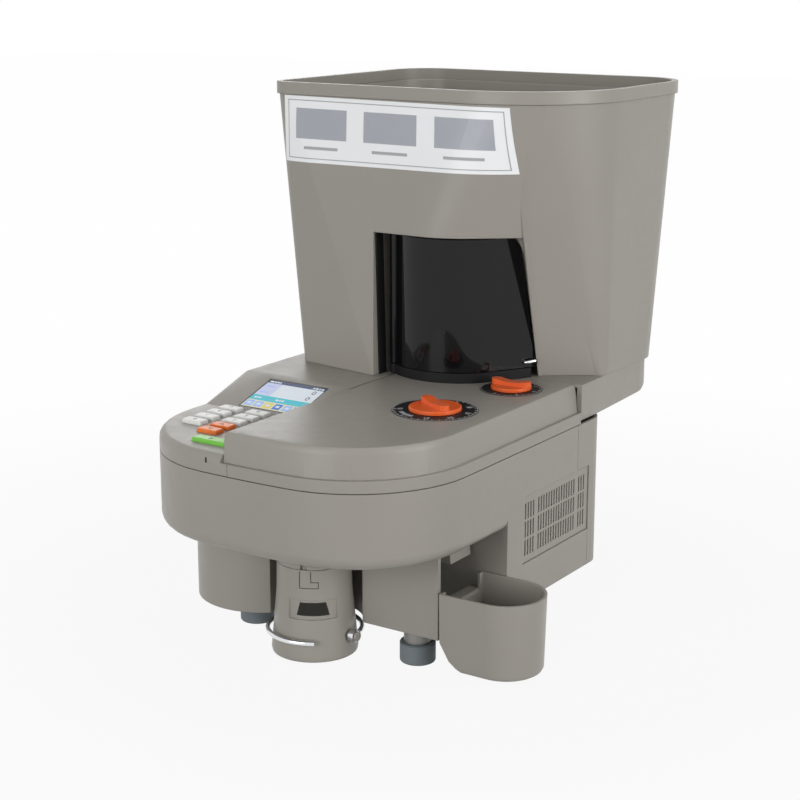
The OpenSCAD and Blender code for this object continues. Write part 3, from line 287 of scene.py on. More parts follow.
@dataclass(frozen=True)
class Finish:
    """Procedural finish of one material."""

    name: str
    colour: Colour
    tint: Colour
    rough: Point2
    grain: Grain = Grain.SATIN
    grain_scale: float = 900.0
    grain_depth: float = 0.00002
    cloud_scale: float = 14.0
    metal: float = 0.0
    clear: float = 0.0
    coat: float = 0.0
    shine: float = 0.5
    glow: float = 0.0
    edge: float = 0.0
    wear: float = 0.0

    def make(self) -> bpy.types.Material:
        """Build the material once and hand it out again later.

        Returns:
            The material.
        """
        ready = bpy.data.materials.get("finish_" + self.name)
        if ready is not None:
            return ready
        desk = ShaderDesk("finish_" + self.name)
        shader = desk.node("ShaderNodeBsdfPrincipled", Metallic=self.metal, IOR=PLASTIC_INDEX)
        shader.inputs["Transmission Weight"].default_value = self.clear
        shader.inputs["Coat Weight"].default_value = self.coat
        shader.inputs["Specular IOR Level"].default_value = self.shine
        shader.inputs["Coat Roughness"].default_value = COAT_ROUGH
        place = desk.node("ShaderNodeTexCoord").outputs["Object"]
        tone = desk.mix(desk.noise(place, self.cloud_scale, CLOUD_DETAIL), self.colour, self.tint)
        bevel = self.round_edges(desk)
        if bevel is not None and self.wear > 0:
            tone = self.rub_edges(desk, bevel, tone)
        desk.link(tone, shader.inputs["Base Color"])
        if self.glow > 0:
            desk.link(tone, shader.inputs["Emission Color"])
            shader.inputs["Emission Strength"].default_value = self.glow
        stretch = desk.node("ShaderNodeMapping", Scale=self.grain.value)
        desk.link(place, stretch.inputs["Vector"])
        relief = desk.noise(stretch.outputs["Vector"], self.grain_scale, GRAIN_DETAIL)
        smear = desk.noise(place, self.cloud_scale * SMEAR_FINER, SMEAR_DETAIL)
        desk.link(desk.spread(smear, SMEAR_RANGE, self.rough), shader.inputs["Roughness"])
        bump = desk.node("ShaderNodeBump", Strength=1.0, Distance=self.grain_depth)
        desk.link(relief, bump.inputs["Height"])
        if bevel is not None:
            desk.link(bevel, bump.inputs["Normal"])
        desk.link(bump.outputs["Normal"], shader.inputs["Normal"])
        desk.link(shader.outputs["BSDF"], desk.output.inputs["Surface"])
        desk.material.diffuse_color = (*self.colour, 1.0)
        return desk.material

    def round_edges(self, desk: ShaderDesk) -> Optional[bpy.types.NodeSocket]:
        """Soften the edges in the shading.

        Args:
            desk: Node tree of the finish.

        Returns:
            Socket of the softened normal, or None where edges stay crisp.
        """
        if self.edge <= 0:
            return None
        return desk.node("ShaderNodeBevel", samples=EDGE_SAMPLES, Radius=self.edge).outputs["Normal"]

    def rub_edges(self, desk: ShaderDesk, bevel: bpy.types.NodeSocket,
                  tone: bpy.types.NodeSocket) -> bpy.types.NodeSocket:
        """Lighten the colour where hands rub the edges.

        Args:
            desk: Node tree of the finish.
            bevel: Socket of the softened normal.
            tone: Socket of the colour so far.

        Returns:
            Socket of the colour with rubbed edges.
        """
        true_normal = desk.node("ShaderNodeNewGeometry").outputs["Normal"]
        dot = desk.node("ShaderNodeVectorMath", operation="DOT_PRODUCT")
        desk.link(bevel, dot.inputs[0])
        desk.link(true_normal, dot.inputs[1])
        mask = desk.spread(dot.outputs["Value"], RUB_RANGE, (self.wear, 0.0))
        pale = tuple(min(1.0, c * RUB_GAIN + RUB_LIFT) for c in self.colour)
        return desk.mix(mask, tone, pale)


CASING = Finish("casing", (0.315, 0.297, 0.266), (0.290, 0.273, 0.243), (0.34, 0.44), Grain.SPARKED,
                1900.0, 0.00003, shine=0.36, edge=0.0012, wear=0.22)
BLACK = Finish("black", (0.012, 0.012, 0.013), (0.02, 0.02, 0.021), (0.34, 0.46), Grain.SPARKED,
               1500.0, 0.00002, shine=0.08, edge=0.0006, wear=0.10)
GLASS = Finish("display_glass", (0.012, 0.014, 0.02), (0.018, 0.02, 0.026), (0.05, 0.12), Grain.POLISHED,
               400.0, 0.000004, coat=0.6)
BOARD = Finish("board", (0.02, 0.13, 0.06), (0.03, 0.17, 0.08), (0.3, 0.42), Grain.SATIN, 700.0, 0.00002)
GREEN = Finish("green", (0.20, 0.60, 0.075), (0.17, 0.53, 0.06), (0.34, 0.44), Grain.SATIN, 1800.0, 0.000015,
               edge=0.0007, wear=0.15)
ORANGE = Finish("orange", (0.80, 0.118, 0.014), (0.72, 0.100, 0.012), (0.30, 0.42), Grain.SATIN, 1800.0,
                0.000015, edge=0.0008, wear=0.12)
KEY_ORANGE = Finish("key_orange", (0.86, 0.205, 0.030), (0.78, 0.180, 0.026), (0.34, 0.44), Grain.SATIN,
                    1800.0, 0.000015, edge=0.0007, wear=0.12)
PALE = Finish("pale_key", (0.80, 0.80, 0.78), (0.74, 0.74, 0.72), (0.36, 0.46), Grain.SATIN, 1800.0, 0.000015,
              edge=0.0007, wear=0.10)
SMOKED = Finish("smoked", (0.006, 0.006, 0.007), (0.004, 0.004, 0.005), (0.03, 0.08), Grain.POLISHED,
                60.0, 0.00003, clear=0.12, shine=0.26)
SHEET = Finish("sheet_steel", (0.50, 0.51, 0.53), (0.44, 0.45, 0.47), (0.28, 0.42), Grain.BRUSHED, 1600.0,
               0.00001, metal=1.0)
BRIGHT = Finish("bright_steel", (0.78, 0.79, 0.81), (0.70, 0.71, 0.73), (0.08, 0.18), Grain.POLISHED, 900.0,
                0.000004, metal=1.0)
SATIN_STEEL = Finish("satin_steel", (0.24, 0.235, 0.225), (0.20, 0.195, 0.188), (0.34, 0.48), Grain.BRUSHED,
                     1600.0, 0.00001, metal=0.6)
ENAMEL = Finish("enamel", (0.05, 0.05, 0.055), (0.035, 0.035, 0.04), (0.28, 0.4), Grain.SATIN, 500.0, 0.00002)
RUBBER = Finish("foot_rubber", (0.165, 0.190, 0.205), (0.135, 0.160, 0.175), (0.55, 0.7), Grain.PORES, 2200.0,
                0.00004)
BELT = Finish("belt_rubber", (0.018, 0.018, 0.018), (0.03, 0.03, 0.03), (0.6, 0.75), Grain.PORES, 2600.0,
              0.00004)
PRINT_WHITE = Finish("print_white", (0.72, 0.72, 0.71), (0.60, 0.60, 0.59), (0.45, 0.55))
PRINT_DARK = Finish("print_dark", (0.035, 0.035, 0.04), (0.05, 0.05, 0.055), (0.45, 0.55))
# Grey of the label's printed lines, also used for the painted highlight ring along each dial plate's rim.
PRINT_AND_HIGHLIGHT_GREY = Finish("print_and_highlight_grey", (0.40, 0.41, 0.42), (0.34, 0.35, 0.36), (0.45, 0.55))
PRINT_SILVER = Finish("print_silver", (0.40, 0.42, 0.46), (0.33, 0.35, 0.39), (0.30, 0.40))
LABEL_PAPER = Finish("label_paper", (0.88, 0.89, 0.90), (0.83, 0.84, 0.86), (0.30, 0.42), Grain.SATIN, 1200.0,
                     0.00001)
LIT_TINT = 0.94
LIT_GLOW = 0.30


def lit(name: str, colour: Colour) -> Finish:
    """Give a finish for one colour of the lit display.

    Args:
        name: Name of the colour.
        colour: The colour.

    Returns:
        The finish.
    """
    tint = tuple(LIT_TINT * c for c in colour)
    return Finish("lit_" + name, colour, tint, (0.12, 0.2), Grain.POLISHED, 300.0, 0.000002, glow=LIT_GLOW)


LIT_PALE = lit("pale", (0.62, 0.68, 0.74))
LIT_MIST = lit("mist", (0.50, 0.54, 0.74))
LIT_NAVY = lit("navy", (0.030, 0.050, 0.125))
LIT_CYAN = lit("cyan", (0.040, 0.46, 0.55))
LIT_CREAM = lit("cream", (0.66, 0.64, 0.42))
LIT_SKY = lit("sky", (0.28, 0.44, 0.82))
LIT_BLUE = lit("blue", (0.03, 0.16, 0.55))
LIT_YELLOW = lit("yellow", (0.62, 0.55, 0.16))
LIT_INK = lit("ink", (0.02, 0.025, 0.05))

SLOT_FINISH: dict[str, Finish] = {
    "casing_plastic": CASING, "dark_plastic": BLACK, "display_glass": GLASS, "board": BOARD,
    "green_plastic": GREEN, "orange_plastic": ORANGE, "pale_plastic": PALE, "smoked_plastic": SMOKED,
    "sheet_steel": SHEET, "bright_steel": BRIGHT, "disc_metal": ENAMEL, "foot_rubber": RUBBER,
    "belt_rubber": BELT,
}
NODE_SLOT: dict[str, str] = {row["node"]: row["material_slot"] for row in frame["record"]["subparts"]}
NODE_FINISH: dict[str, Finish] = {f"key_orange_{i}": KEY_ORANGE for i in range(1, 5)}
NODE_FINISH.update(legs=SATIN_STEEL, case_screws=SATIN_STEEL, reject_chute=CASING)
NODE_BODY: dict[str, str] = {
    node: body for body, nodes in frame["record"]["behaviour"]["bodies"].items() for node in nodes}


def finish_of(node: str) -> Finish:
    """Give the finish of a node."""
    return NODE_FINISH.get(node, SLOT_FINISH[NODE_SLOT[node]])


def add_piece(name: str, mesh: bpy.types.Mesh, body: str, slot: str) -> bpy.types.Object:
    """Put a mesh into the scene as a piece that rides on a body.

    Args:
        name: Name of the piece.
        mesh: Its mesh, in the part's frame.
        body: Body that carries it.
        slot: Material slot of the record.

    Returns:
        The piece.
    """
    piece = bpy.data.objects.new(name, mesh)
    bpy.context.scene.collection.objects.link(piece)
    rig.ride(piece, body)
    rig.slot(piece, slot)
    log.info("piece %s rides on %s", name, body)
    return piece


@dataclass(frozen=True)
class Face:
    """Flat place on the part, with its own right and up directions."""

    origin: Vector
    right: Vector
    up: Vector

    def at(self, u: float, v: float, out: float) -> Vector:
        """Find a point over the face.

        Args:
            u: Distance to the right.
            v: Distance up.
            out: Height over the face.

        Returns:
            The point in the part's frame.
        """
        return self.origin + self.right * u + self.up * v + self.right.cross(self.up) * out

    def matrix(self, u: float, v: float, out: float, turn: float) -> Matrix:
        """Give the placing of something drawn in the plane.

        Args:
            u: Distance to the right.
            v: Distance up.
            out: Height over the face.
            turn: Turn in the plane in radians.

        Returns:
            The placing.
        """
        axes = Matrix((self.right, self.up, self.right.cross(self.up))).transposed().to_4x4()
        return Matrix.Translation(self.at(u, v, out)) @ axes @ Matrix.Rotation(turn, 4, "Z")


def round_rect(width: float, height: float, radius: float, steps: int = 5) -> list[Point2]:
    """Outline a rectangle with round corners about its middle.

    Args:
        width: Full width.
        height: Full height.
        radius: Corner radius.
        steps: Segments in each corner.

    Returns:
        Outline points, counter-clockwise.
    """
    points = []
    for corner, (sx, sy) in enumerate(((1, 1), (-1, 1), (-1, -1), (1, -1))):
        for i in range(steps + 1):
            a = math.radians(90 * corner + 90 * i / steps)
            points.append((sx * (width / 2 - radius) + radius * math.cos(a),
                           sy * (height / 2 - radius) + radius * math.sin(a)))
    return points


class Marks:
    """Thin printed marks on one face, gathered into one mesh."""

    def __init__(self, name: str, face: Face, thickness: float = 0.06 * MM) -> None:
        """Start with no marks.

        Args:
            name: Name of the piece.
            face: Face that carries the marks.
            thickness: Thickness of a mark.
        """
        self.name = name
        self.face = face
        self.thickness = thickness
        self.bm = bmesh.new()
        self.finishes: list[Finish] = []

    def number_of(self, finish: Finish) -> int:
        """Find or add the material number of a finish.

        Args:
            finish: The finish.

        Returns:
            Its number on the mesh.
        """
        if finish not in self.finishes:
            self.finishes.append(finish)
        return self.finishes.index(finish)

    def area(self, outline: Sequence[Point2], finish: Finish, lift: float = 0.0) -> None:
        """Add a flat area as a thin closed plate.

        Args:
            outline: Points, counter-clockwise.
            finish: Finish of the area.
            lift: Height of its underside over the face.
        """
        rings = [[self.bm.verts.new(self.face.at(u, v, out)) for u, v in outline]
                 for out in (lift, lift + self.thickness)]
        low, high = rings
        faces = [self.bm.faces.new(high), self.bm.faces.new(low[::-1])]
        for i in range(len(outline)):
            k = (i + 1) % len(outline)
            faces.append(self.bm.faces.new((low[i], low[k], high[k], high[i])))
        for made in faces:
            made.material_index = self.number_of(finish)

    def band(self, radii: Point2, angles: Point2, finish: Finish, lift: float = 0.0) -> None:
        """Add part of a ring about the face's origin.

        Args:
            radii: Inner and outer radius.
            angles: First and last angle in degrees.
            finish: Finish of the band.
            lift: Height of its underside over the face.
        """
        steps = max(1, math.ceil(abs(angles[1] - angles[0]) / BAND_STEP))
        turns = [math.radians(angles[0] + (angles[1] - angles[0]) * i / steps) for i in range(steps + 1)]
        outer = [(radii[1] * math.cos(a), radii[1] * math.sin(a)) for a in turns]
        inner = [(radii[0] * math.cos(a), radii[0] * math.sin(a)) for a in turns]
        for i in range(steps):
            self.area((inner[i], outer[i], outer[i + 1], inner[i + 1]), finish, lift)

    def words(self, text: str, height: float, place: Point2, finish: Finish, turn: float = 0.0,
              lift: float = 0.0) -> None:
        """Add plain figures.

        Args:
            text: The figures.
            height: Height of a figure.
            place: Middle of the text on the face.
            finish: Finish of the print.
            turn: Turn in the plane in radians.
            lift: Height of its underside over the face.
        """
        curve = bpy.data.curves.new("figures", "FONT")
        curve.body = text
        curve.size = height / CAP_SHARE
        curve.align_x = "CENTER"
        curve.align_y = "CENTER"
        curve.extrude = self.thickness / 2
        curve.resolution_u = FIGURE_STEPS
        holder = bpy.data.objects.new("figures", curve)
        bpy.context.scene.collection.objects.link(holder)
        mesh = bpy.data.meshes.new_from_object(holder.evaluated_get(bpy.context.evaluated_depsgraph_get()))
        mesh.transform(self.face.matrix(*place, lift + self.thickness / 2, turn))
        start = len(self.bm.faces)
        self.bm.from_mesh(mesh)
        self.bm.faces.ensure_lookup_table()
        for made in self.bm.faces[start:]:
            made.material_index = self.number_of(finish)
        bpy.data.objects.remove(holder)
        bpy.data.curves.remove(curve)
        bpy.data.meshes.remove(mesh)

    def build(self, body: str, slot: str) -> bpy.types.Object:
        """Turn the marks into a piece.

        Args:
            body: Body that carries it.
            slot: Material slot of the record.

        Returns:
            The piece.
        """
        bmesh.ops.remove_doubles(self.bm, verts=self.bm.verts, dist=MARK_WELD)
        bmesh.ops.recalc_face_normals(self.bm, faces=self.bm.faces)
        mesh = bpy.data.meshes.new(self.name)
        self.bm.to_mesh(mesh)
        self.bm.free()
        for finish in self.finishes:
            mesh.materials.append(finish.make())
        return add_piece(self.name, mesh, body, slot)


@dataclass
class Housing:
    """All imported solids: their finishes, and smooth skins over the faceted mouldings."""

    crease: float = math.radians(31)
    weld: float = 0.002 * MM
    moulded: tuple[str, ...] = ("lower_casing", "head_cover", "control_panel", "hopper_shell", "hopper_rim",
                                "hopper_funnel", "bag_spout", "reject_cup")
    keys: tuple[str, ...] = ("key_g", "key_o")
    key_edge: float = 0.5 * MM
    key_segments: int = 3
    key_crease: float = math.radians(35)

    def build(self) -> None:
        """Dress every node, then lay the smooth skins."""
        for name, node in frame["nodes"].items():
            self.dress(node, finish_of(name))
        for name in self.moulded:
            self.skin(name)
        for name in frame["nodes"]:
            if name.startswith(self.keys):
                self.round_key(self.skin(name))

    def dress(self, obj: bpy.types.Object, finish: Finish) -> None:
        """Give an object one finish.

        Args:
            obj: The object.
            finish: Its finish.
        """
        if not obj.data.materials:
            obj.data.materials.append(None)
        for place in obj.material_slots:
            place.material = finish.make()

    def skin(self, name: str) -> bpy.types.Object:
        """Copy a faceted node with joined vertices and smooth shading.

        Args:
            name: The node.

        Returns:
            The piece that stands for it.
        """
        bm = bmesh.new()
        bm.from_mesh(frame["nodes"][name].data)
        bmesh.ops.remove_doubles(bm, verts=bm.verts, dist=self.weld)
        bmesh.ops.recalc_face_normals(bm, faces=bm.faces)
        for face in bm.faces:
            face.smooth = True
        for edge in bm.edges:
            edge.smooth = edge.calc_face_angle(math.pi) < self.crease
        mesh = bpy.data.meshes.new(name + "_skin")
        bm.to_mesh(mesh)
        bm.free()
        packed_normals = mesh.attributes.get("custom_normal")
        if packed_normals is not None:
            mesh.attributes.remove(packed_normals)
        mesh.materials.append(finish_of(name).make())
        piece = add_piece(name + "_skin", mesh, NODE_BODY[name], NODE_SLOT[name])
        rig.replaces(piece, name)
        weighted = piece.modifiers.new("even_normals", "WEIGHTED_NORMAL")
        weighted.keep_sharp = True
        weighted.mode = "FACE_AREA_WITH_ANGLE"
        return piece

    def round_key(self, piece: bpy.types.Object) -> None:
        """Round the edges of a key cap.

        Args:
            piece: Skin of the key.
        """
        bevel = piece.modifiers.new("soft_edges", "BEVEL")
        bevel.width = self.key_edge
        bevel.segments = self.key_segments
        bevel.limit_method = "ANGLE"
        bevel.angle_limit = self.key_crease
        piece.modifiers.move(1, 0)


def placed(x: float, y: float, z: float) -> Vector:
    """Turn a point of the drawing, in millimetres, into the part's frame.

    Args:
        x: Distance to the right of the casing's middle.
        y: Distance behind its nose.
        z: Height over the floor.

    Returns:
        The point in metres.
    """
    return Vector((x + DRAWING_SHIFT[0], y + DRAWING_SHIFT[1], z)) * MM


def on_circle(middle: Point2, radius: float, angle: float) -> Point2:
    """Find a point of a circle.

    Args:
        middle: Middle of the circle.
        radius: Its radius.
        angle: Angle in degrees.

    Returns:
        The point.
    """
    a = math.radians(angle)
    return (middle[0] + radius * math.cos(a), middle[1] + radius * math.sin(a))


def between(a: Point2, b: Point2, share: float) -> Point2:
    """Find a point on the way from a to b."""
    return (a[0] + (b[0] - a[0]) * share, a[1] + (b[1] - a[1]) * share)


def add_plate(bm: bmesh.types.BMesh, front: Grid, back: Grid, number: int = 0) -> None:
    """Join two grids of points into a closed plate.

    Args:
        bm: Mesh that takes the plate.
        front: Columns of points on the outside.
        back: Columns of points on the inside.
        number: Material number.
    """
    sides = [[[bm.verts.new(p) for p in column] for column in grid] for grid in (front, back)]
    last, top = len(front) - 1, len(front[0]) - 1
    made = []
    for side in sides:
        for i in range(last):
            for k in range(top):
                made.append(bm.faces.new((side[i][k], side[i + 1][k], side[i + 1][k + 1], side[i][k + 1])))
    rim = [(i, 0) for i in range(last)] + [(last, k) for k in range(top)]
    rim += [(i, top) for i in range(last, 0, -1)] + [(0, k) for k in range(top, 0, -1)]
    for (i, k), (m, n) in zip(rim, rim[1:] + rim[:1]):
        made.append(bm.faces.new((sides[0][i][k], sides[0][m][n], sides[1][m][n], sides[1][i][k])))
    for face in made:
        face.material_index = number


def finish_mesh(name: str, bm: bmesh.types.BMesh, finish: Finish, crease: float) -> bpy.types.Mesh:
    """Weld a mesh, shade it smooth between its creases and give it a finish.

    Args:
        name: Name of the mesh.
        bm: Its faces; freed here.
        finish: Its finish.
        crease: Angle in degrees from which an edge stays sharp.

    Returns:
        The mesh.
    """
    bmesh.ops.remove_doubles(bm, verts=bm.verts, dist=WELD)
    bmesh.ops.dissolve_degenerate(bm, edges=bm.edges, dist=SLIVER)
    bmesh.ops.recalc_face_normals(bm, faces=bm.faces)
    for face in bm.faces:
        face.smooth = True
    for edge in bm.edges:
        edge.smooth = edge.calc_face_angle(math.pi) < math.radians(crease)
    mesh = bpy.data.meshes.new(name)
    bm.to_mesh(mesh)
    bm.free()
    mesh.materials.append(finish.make())
    return mesh


@dataclass
class HopperFront:
    """Brow over the door and wing beside it, lofted up to the rim, in millimetres of the drawing."""

    foot_z: float = 214.2
    brow_z: float = 345.0
    rim_z: float = 462.6
    rows: int = 9
    proud: float = 0.3
    depth: float = 2.6
    door_middle: Point2 = (17.0, 302.0)
    brow_radius: float = 64.5
    brow_left: float = -42.0
    brow_corner: Point2 = (95.4, 282.0)
    rim_middle: Point2 = (58.0, 344.0)
    rim_radius: float = 100.0
    foot_left: Point2 = (95.0, 313.5)
    foot_right: Point2 = (139.6, 346.4)
    inner_top: Point2 = (72.0, 286.0)
    bin_lean: Point2 = (345.5, 245.5)
    crease: float = 40.0
    quarters: Point3 = (0.25, 0.5, 0.75)
    brow_setback: float = 0.8
    brow_turns: range = range(-90, -49, 5)
    wing_start: float = -67.5
    wing_step: float = 2.8
    wing_steps: int = 6
    wing_shares: tuple[float, ...] = (0.2, 0.4, 0.6, 0.8, 1.0)
    wing_end: float = -44.0
    wing_tuck: float = 0.5
    wing_inward: Point3 = (-0.3, 0.9, 0.0)
    side_over: float = 4.0
    side_gap: float = 0.2
    side_inward: Point3 = (0.75, 0.25, 0.0)

    def build(self) -> None:
        """Loft the two plates of the front."""
        for name, maker in (("hopper_brow", self.brow), ("hopper_wing", self.wing)):
            bm = bmesh.new()
            maker(bm)
            add_piece(name, finish_mesh(name, bm, CASING, self.crease), "machine", "casing_plastic")

    def rim_point(self, angle: float) -> Point2:
        """Find a point of the rim's big corner."""
        return on_circle(self.rim_middle, self.rim_radius + self.proud, angle)

    def rulings(self, pairs: Sequence[tuple[Point2, Point2]], low: float, high: float) -> Grid:
        """Draw straight lines from the foot to the rim.

        Args:
            pairs: Lower and upper point of each line.
            low: Height of the lower points.
            high: Height of the upper points.

        Returns:
            Columns of points.
        """
        shares = [k / self.rows for k in range(self.rows + 1)]
        return [[placed(*between(a, b, s), low + (high - low) * s) for s in shares] for a, b in pairs]

    def brow(self, bm: bmesh.types.BMesh) -> None:
        """Loft the brow from its lower edge to the rim.

        Args:
            bm: Mesh that takes it.
        """
        radius = self.brow_radius + self.proud
        flat_low = self.door_middle[1] - radius
        flat_high = self.rim_middle[1] - self.rim_radius - self.proud
        pairs = []
        left = (self.brow_left, flat_low + self.brow_setback)
        for share in (0.0, *self.quarters):
            pairs.append((between(left, (self.door_middle[0], flat_low), share),
                          between((self.brow_left, flat_high), (self.rim_middle[0], flat_high), share)))
        pairs += [(on_circle(self.door_middle, radius, a), self.rim_point(a)) for a in self.brow_turns]
        start, top = pairs[-1]
        pairs += [(between(start, self.brow_corner, s), top) for s in (*self.quarters, 1.0)]
        front = self.rulings(pairs, self.brow_z, self.rim_z)
        back = [[p + Vector((0, self.depth, 0)) * MM for p in column] for column in front]
        add_plate(bm, front, back)

    def wing(self, bm: bmesh.types.BMesh) -> None:
        """Loft the wing, with a return beside the door.

        Args:
            bm: Mesh that takes it.
        """
        steps = [self.rim_point(self.wing_start + self.wing_step * i) for i in range(self.wing_steps)]
        pairs = [(self.foot_left, top) for top in steps]
        pairs += [(between(self.foot_left, self.foot_right, s), steps[-1]) for s in self.wing_shares]
        last = on_circle(self.rim_middle, self.rim_radius - self.wing_tuck, self.wing_end)
        pairs.append((self.foot_right, last))
        front = self.rulings(pairs, self.foot_z, self.rim_z)
        back = [[p + Vector(self.wing_inward) * self.depth * MM for p in column] for column in front]
        add_plate(bm, front, back)
        self.side(bm)

    def side(self, bm: bmesh.types.BMesh) -> None:
        """Add the face that looks at the door and the return behind it.

        Args:
            bm: Mesh that takes it.
        """
        columns: Grid = [[], [], [], []]
        for k in range(self.rows + 1):
            z = self.foot_z + (self.brow_z + self.side_over - self.foot_z) * k / self.rows
            share = (z - self.foot_z) / (self.rim_z - self.foot_z)
            outer = between(self.foot_left, self.rim_point(self.wing_start), share)
            inner = between(self.foot_left, self.inner_top, share)
            wall = self.bin_lean[0] + (self.bin_lean[1] - self.bin_lean[0]) * share
            if inner[1] > wall:
                inner = between(outer, inner, (wall - outer[1]) / (inner[1] - outer[1]))
            columns[0].append(placed(inner[0], max(wall, inner[1] + self.side_gap), z))
            columns[1].append(placed(*inner, z))
            columns[2].append(placed(*between(inner, outer, 0.5), z))
            columns[3].append(placed(*outer, z))
        back = [[p + Vector(self.side_inward) * self.depth * MM for p in column] for column in columns]
        add_plate(bm, columns, back)


@dataclass
class SmokedDoor:
    """Curved dark door with its knuckle, and the sill it stands over, in millimetres of the drawing."""

    middle: Point2 = (17.0, 302.0)
    hinge: Point2 = (-22.0, 254.45)
    outer: float = 63.0
    thickness: float = 3.0
    knuckle: float = 5.0
    start: float = -129.0
    tail_start: float = -30.0
    tail: float = 42.0
    tail_trim: Point2 = (46.6, -38.2)
    heights: Point2 = (223.8, 343.5)
    sill_heights: Point2 = (214.05, 223.0)
    wing_heights: Point2 = (214.2, 462.6)
    rows: int = 10
    corner: float = 13.0
    post: tuple[Point2, Point2] = ((-30.75, 240.0), (-34.3, 240.0))
    post_out: float = 1.3
    post_depths: Point3 = (0.0, 5.5, 11.0)
    sill_lip: float = 0.4
    sill_depth: float = 4.0
    sill_short: float = 1.5
    crease: float = 32.0
    arc_steps: int = 33
    corner_steps: int = 6
    tail_steps: int = 6
    bar_sides: int = 30
    bar_ease: float = 0.6

    def build(self) -> None:
        """Make the door and the sill."""
        bm = bmesh.new()
        add_plate(bm, self.curve(self.outer, self.heights, True),
                  self.curve(self.outer - self.thickness, self.heights, True))
        self.round_bar(bm, self.hinge, self.knuckle, self.heights)
        mesh = finish_mesh("smoked_door_skin", bm, SMOKED, self.crease)
        door = add_piece("smoked_door_skin", mesh, "door", "smoked_plastic")
        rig.replaces(door, "smoked_door")
        bm = bmesh.new()
        add_plate(bm, self.curve(self.outer + self.sill_lip, self.sill_heights, False),
                  self.curve(self.outer - self.sill_depth, self.sill_heights, False))
        self.round_bar(bm, self.hinge, self.knuckle, self.sill_heights)
        self.hinge_post(bm)
        mesh = finish_mesh("door_sill_skin", bm, BLACK, self.crease)
        sill = add_piece("door_sill_skin", mesh, "machine", "dark_plastic")
        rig.replaces(sill, "door_sill")

    def curve(self, radius: float, heights: Point2, trimmed: bool) -> Grid:
        """Draw the door's curve as columns of points.

        Args:
            radius: Radius of the arc.
            heights: Lower and upper height.
            trimmed: Whether the tail is cut back along the hopper's wing.

        Returns:
            Columns from the hinge to the free edge.
        """
        low, knee = heights[0], heights[1] - self.corner * trimmed
        levels = [low + (knee - low) * k / self.rows for k in range(self.rows + 1)]
        if trimmed:
            turns = [math.radians(90 * k / self.corner_steps) for k in range(1, self.corner_steps + 1)]
            levels += [knee + self.corner * math.sin(a) for a in turns]
        turn = self.tail_start - self.start
        grid = []
        for i in range(self.arc_steps + 1):
            x, y = on_circle(self.middle, radius, self.start + turn * i / self.arc_steps)
            grid.append([placed(x, y, z) for z in levels])
        way = (-math.sin(math.radians(self.tail_start)), math.cos(math.radians(self.tail_start)))
        for i in range(1, self.tail_steps + 1):
            column = []
            for z in levels:
                share = (z - self.wing_heights[0]) / (self.wing_heights[1] - self.wing_heights[0])
                reach = self.tail - self.sill_short
                if trimmed:
                    over = max(0.0, z - knee)
                    reach = min(self.tail, self.tail_trim[0] + self.tail_trim[1] * share)
                    reach -= self.corner - math.sqrt(max(0.0, self.corner ** 2 - over ** 2))
                column.append(placed(x + way[0] * reach * i / self.tail_steps,
                                     y + way[1] * reach * i / self.tail_steps, z))
            grid.append(column)
        return grid

    def round_bar(self, bm: bmesh.types.BMesh, middle: Point2, radius: float, heights: Point2) -> None:
        """Add an upright round bar with eased ends.

        Args:
            bm: Mesh that takes it.
            middle: Where it stands.
            radius: Its radius.
            heights: Lower and upper height.
        """
        ease = self.bar_ease
        ends = ((heights[0], radius - ease), (heights[0] + ease, radius), (heights[1] - ease, radius),
                (heights[1], radius - ease))
        turns = [360 * i / self.bar_sides for i in range(self.bar_sides)]
        rings = []
        for z, r in ends:
            rings.append([bm.verts.new(placed(*on_circle(middle, r, a), z)) for a in turns])
        for low, high in zip(rings, rings[1:]):
            for i in range(self.bar_sides):
                k = (i + 1) % self.bar_sides
                bm.faces.new((low[i], low[k], high[k], high[i]))
        bm.faces.new(rings[0][::-1])
        bm.faces.new(rings[-1])

    def hinge_post(self, bm: bmesh.types.BMesh) -> None:
        """Add the dark strip on the block's side beside the hinge.

        Args:
            bm: Mesh that takes it.
        """
        ends = list(zip(self.post, (self.sill_heights[0], self.heights[1])))
        front, back = [[[placed(x + out, y + d, z) for (x, y), z in ends] for d in self.post_depths]
                       for out in (self.post_out, 0.0)]
        add_plate(bm, front, back)


class Sign(Enum):
    """Plain sign on a function key."""

    BAR = "bar"
    RING = "ring"
    UP = "up"
    DOWN = "down"
    START = "start"


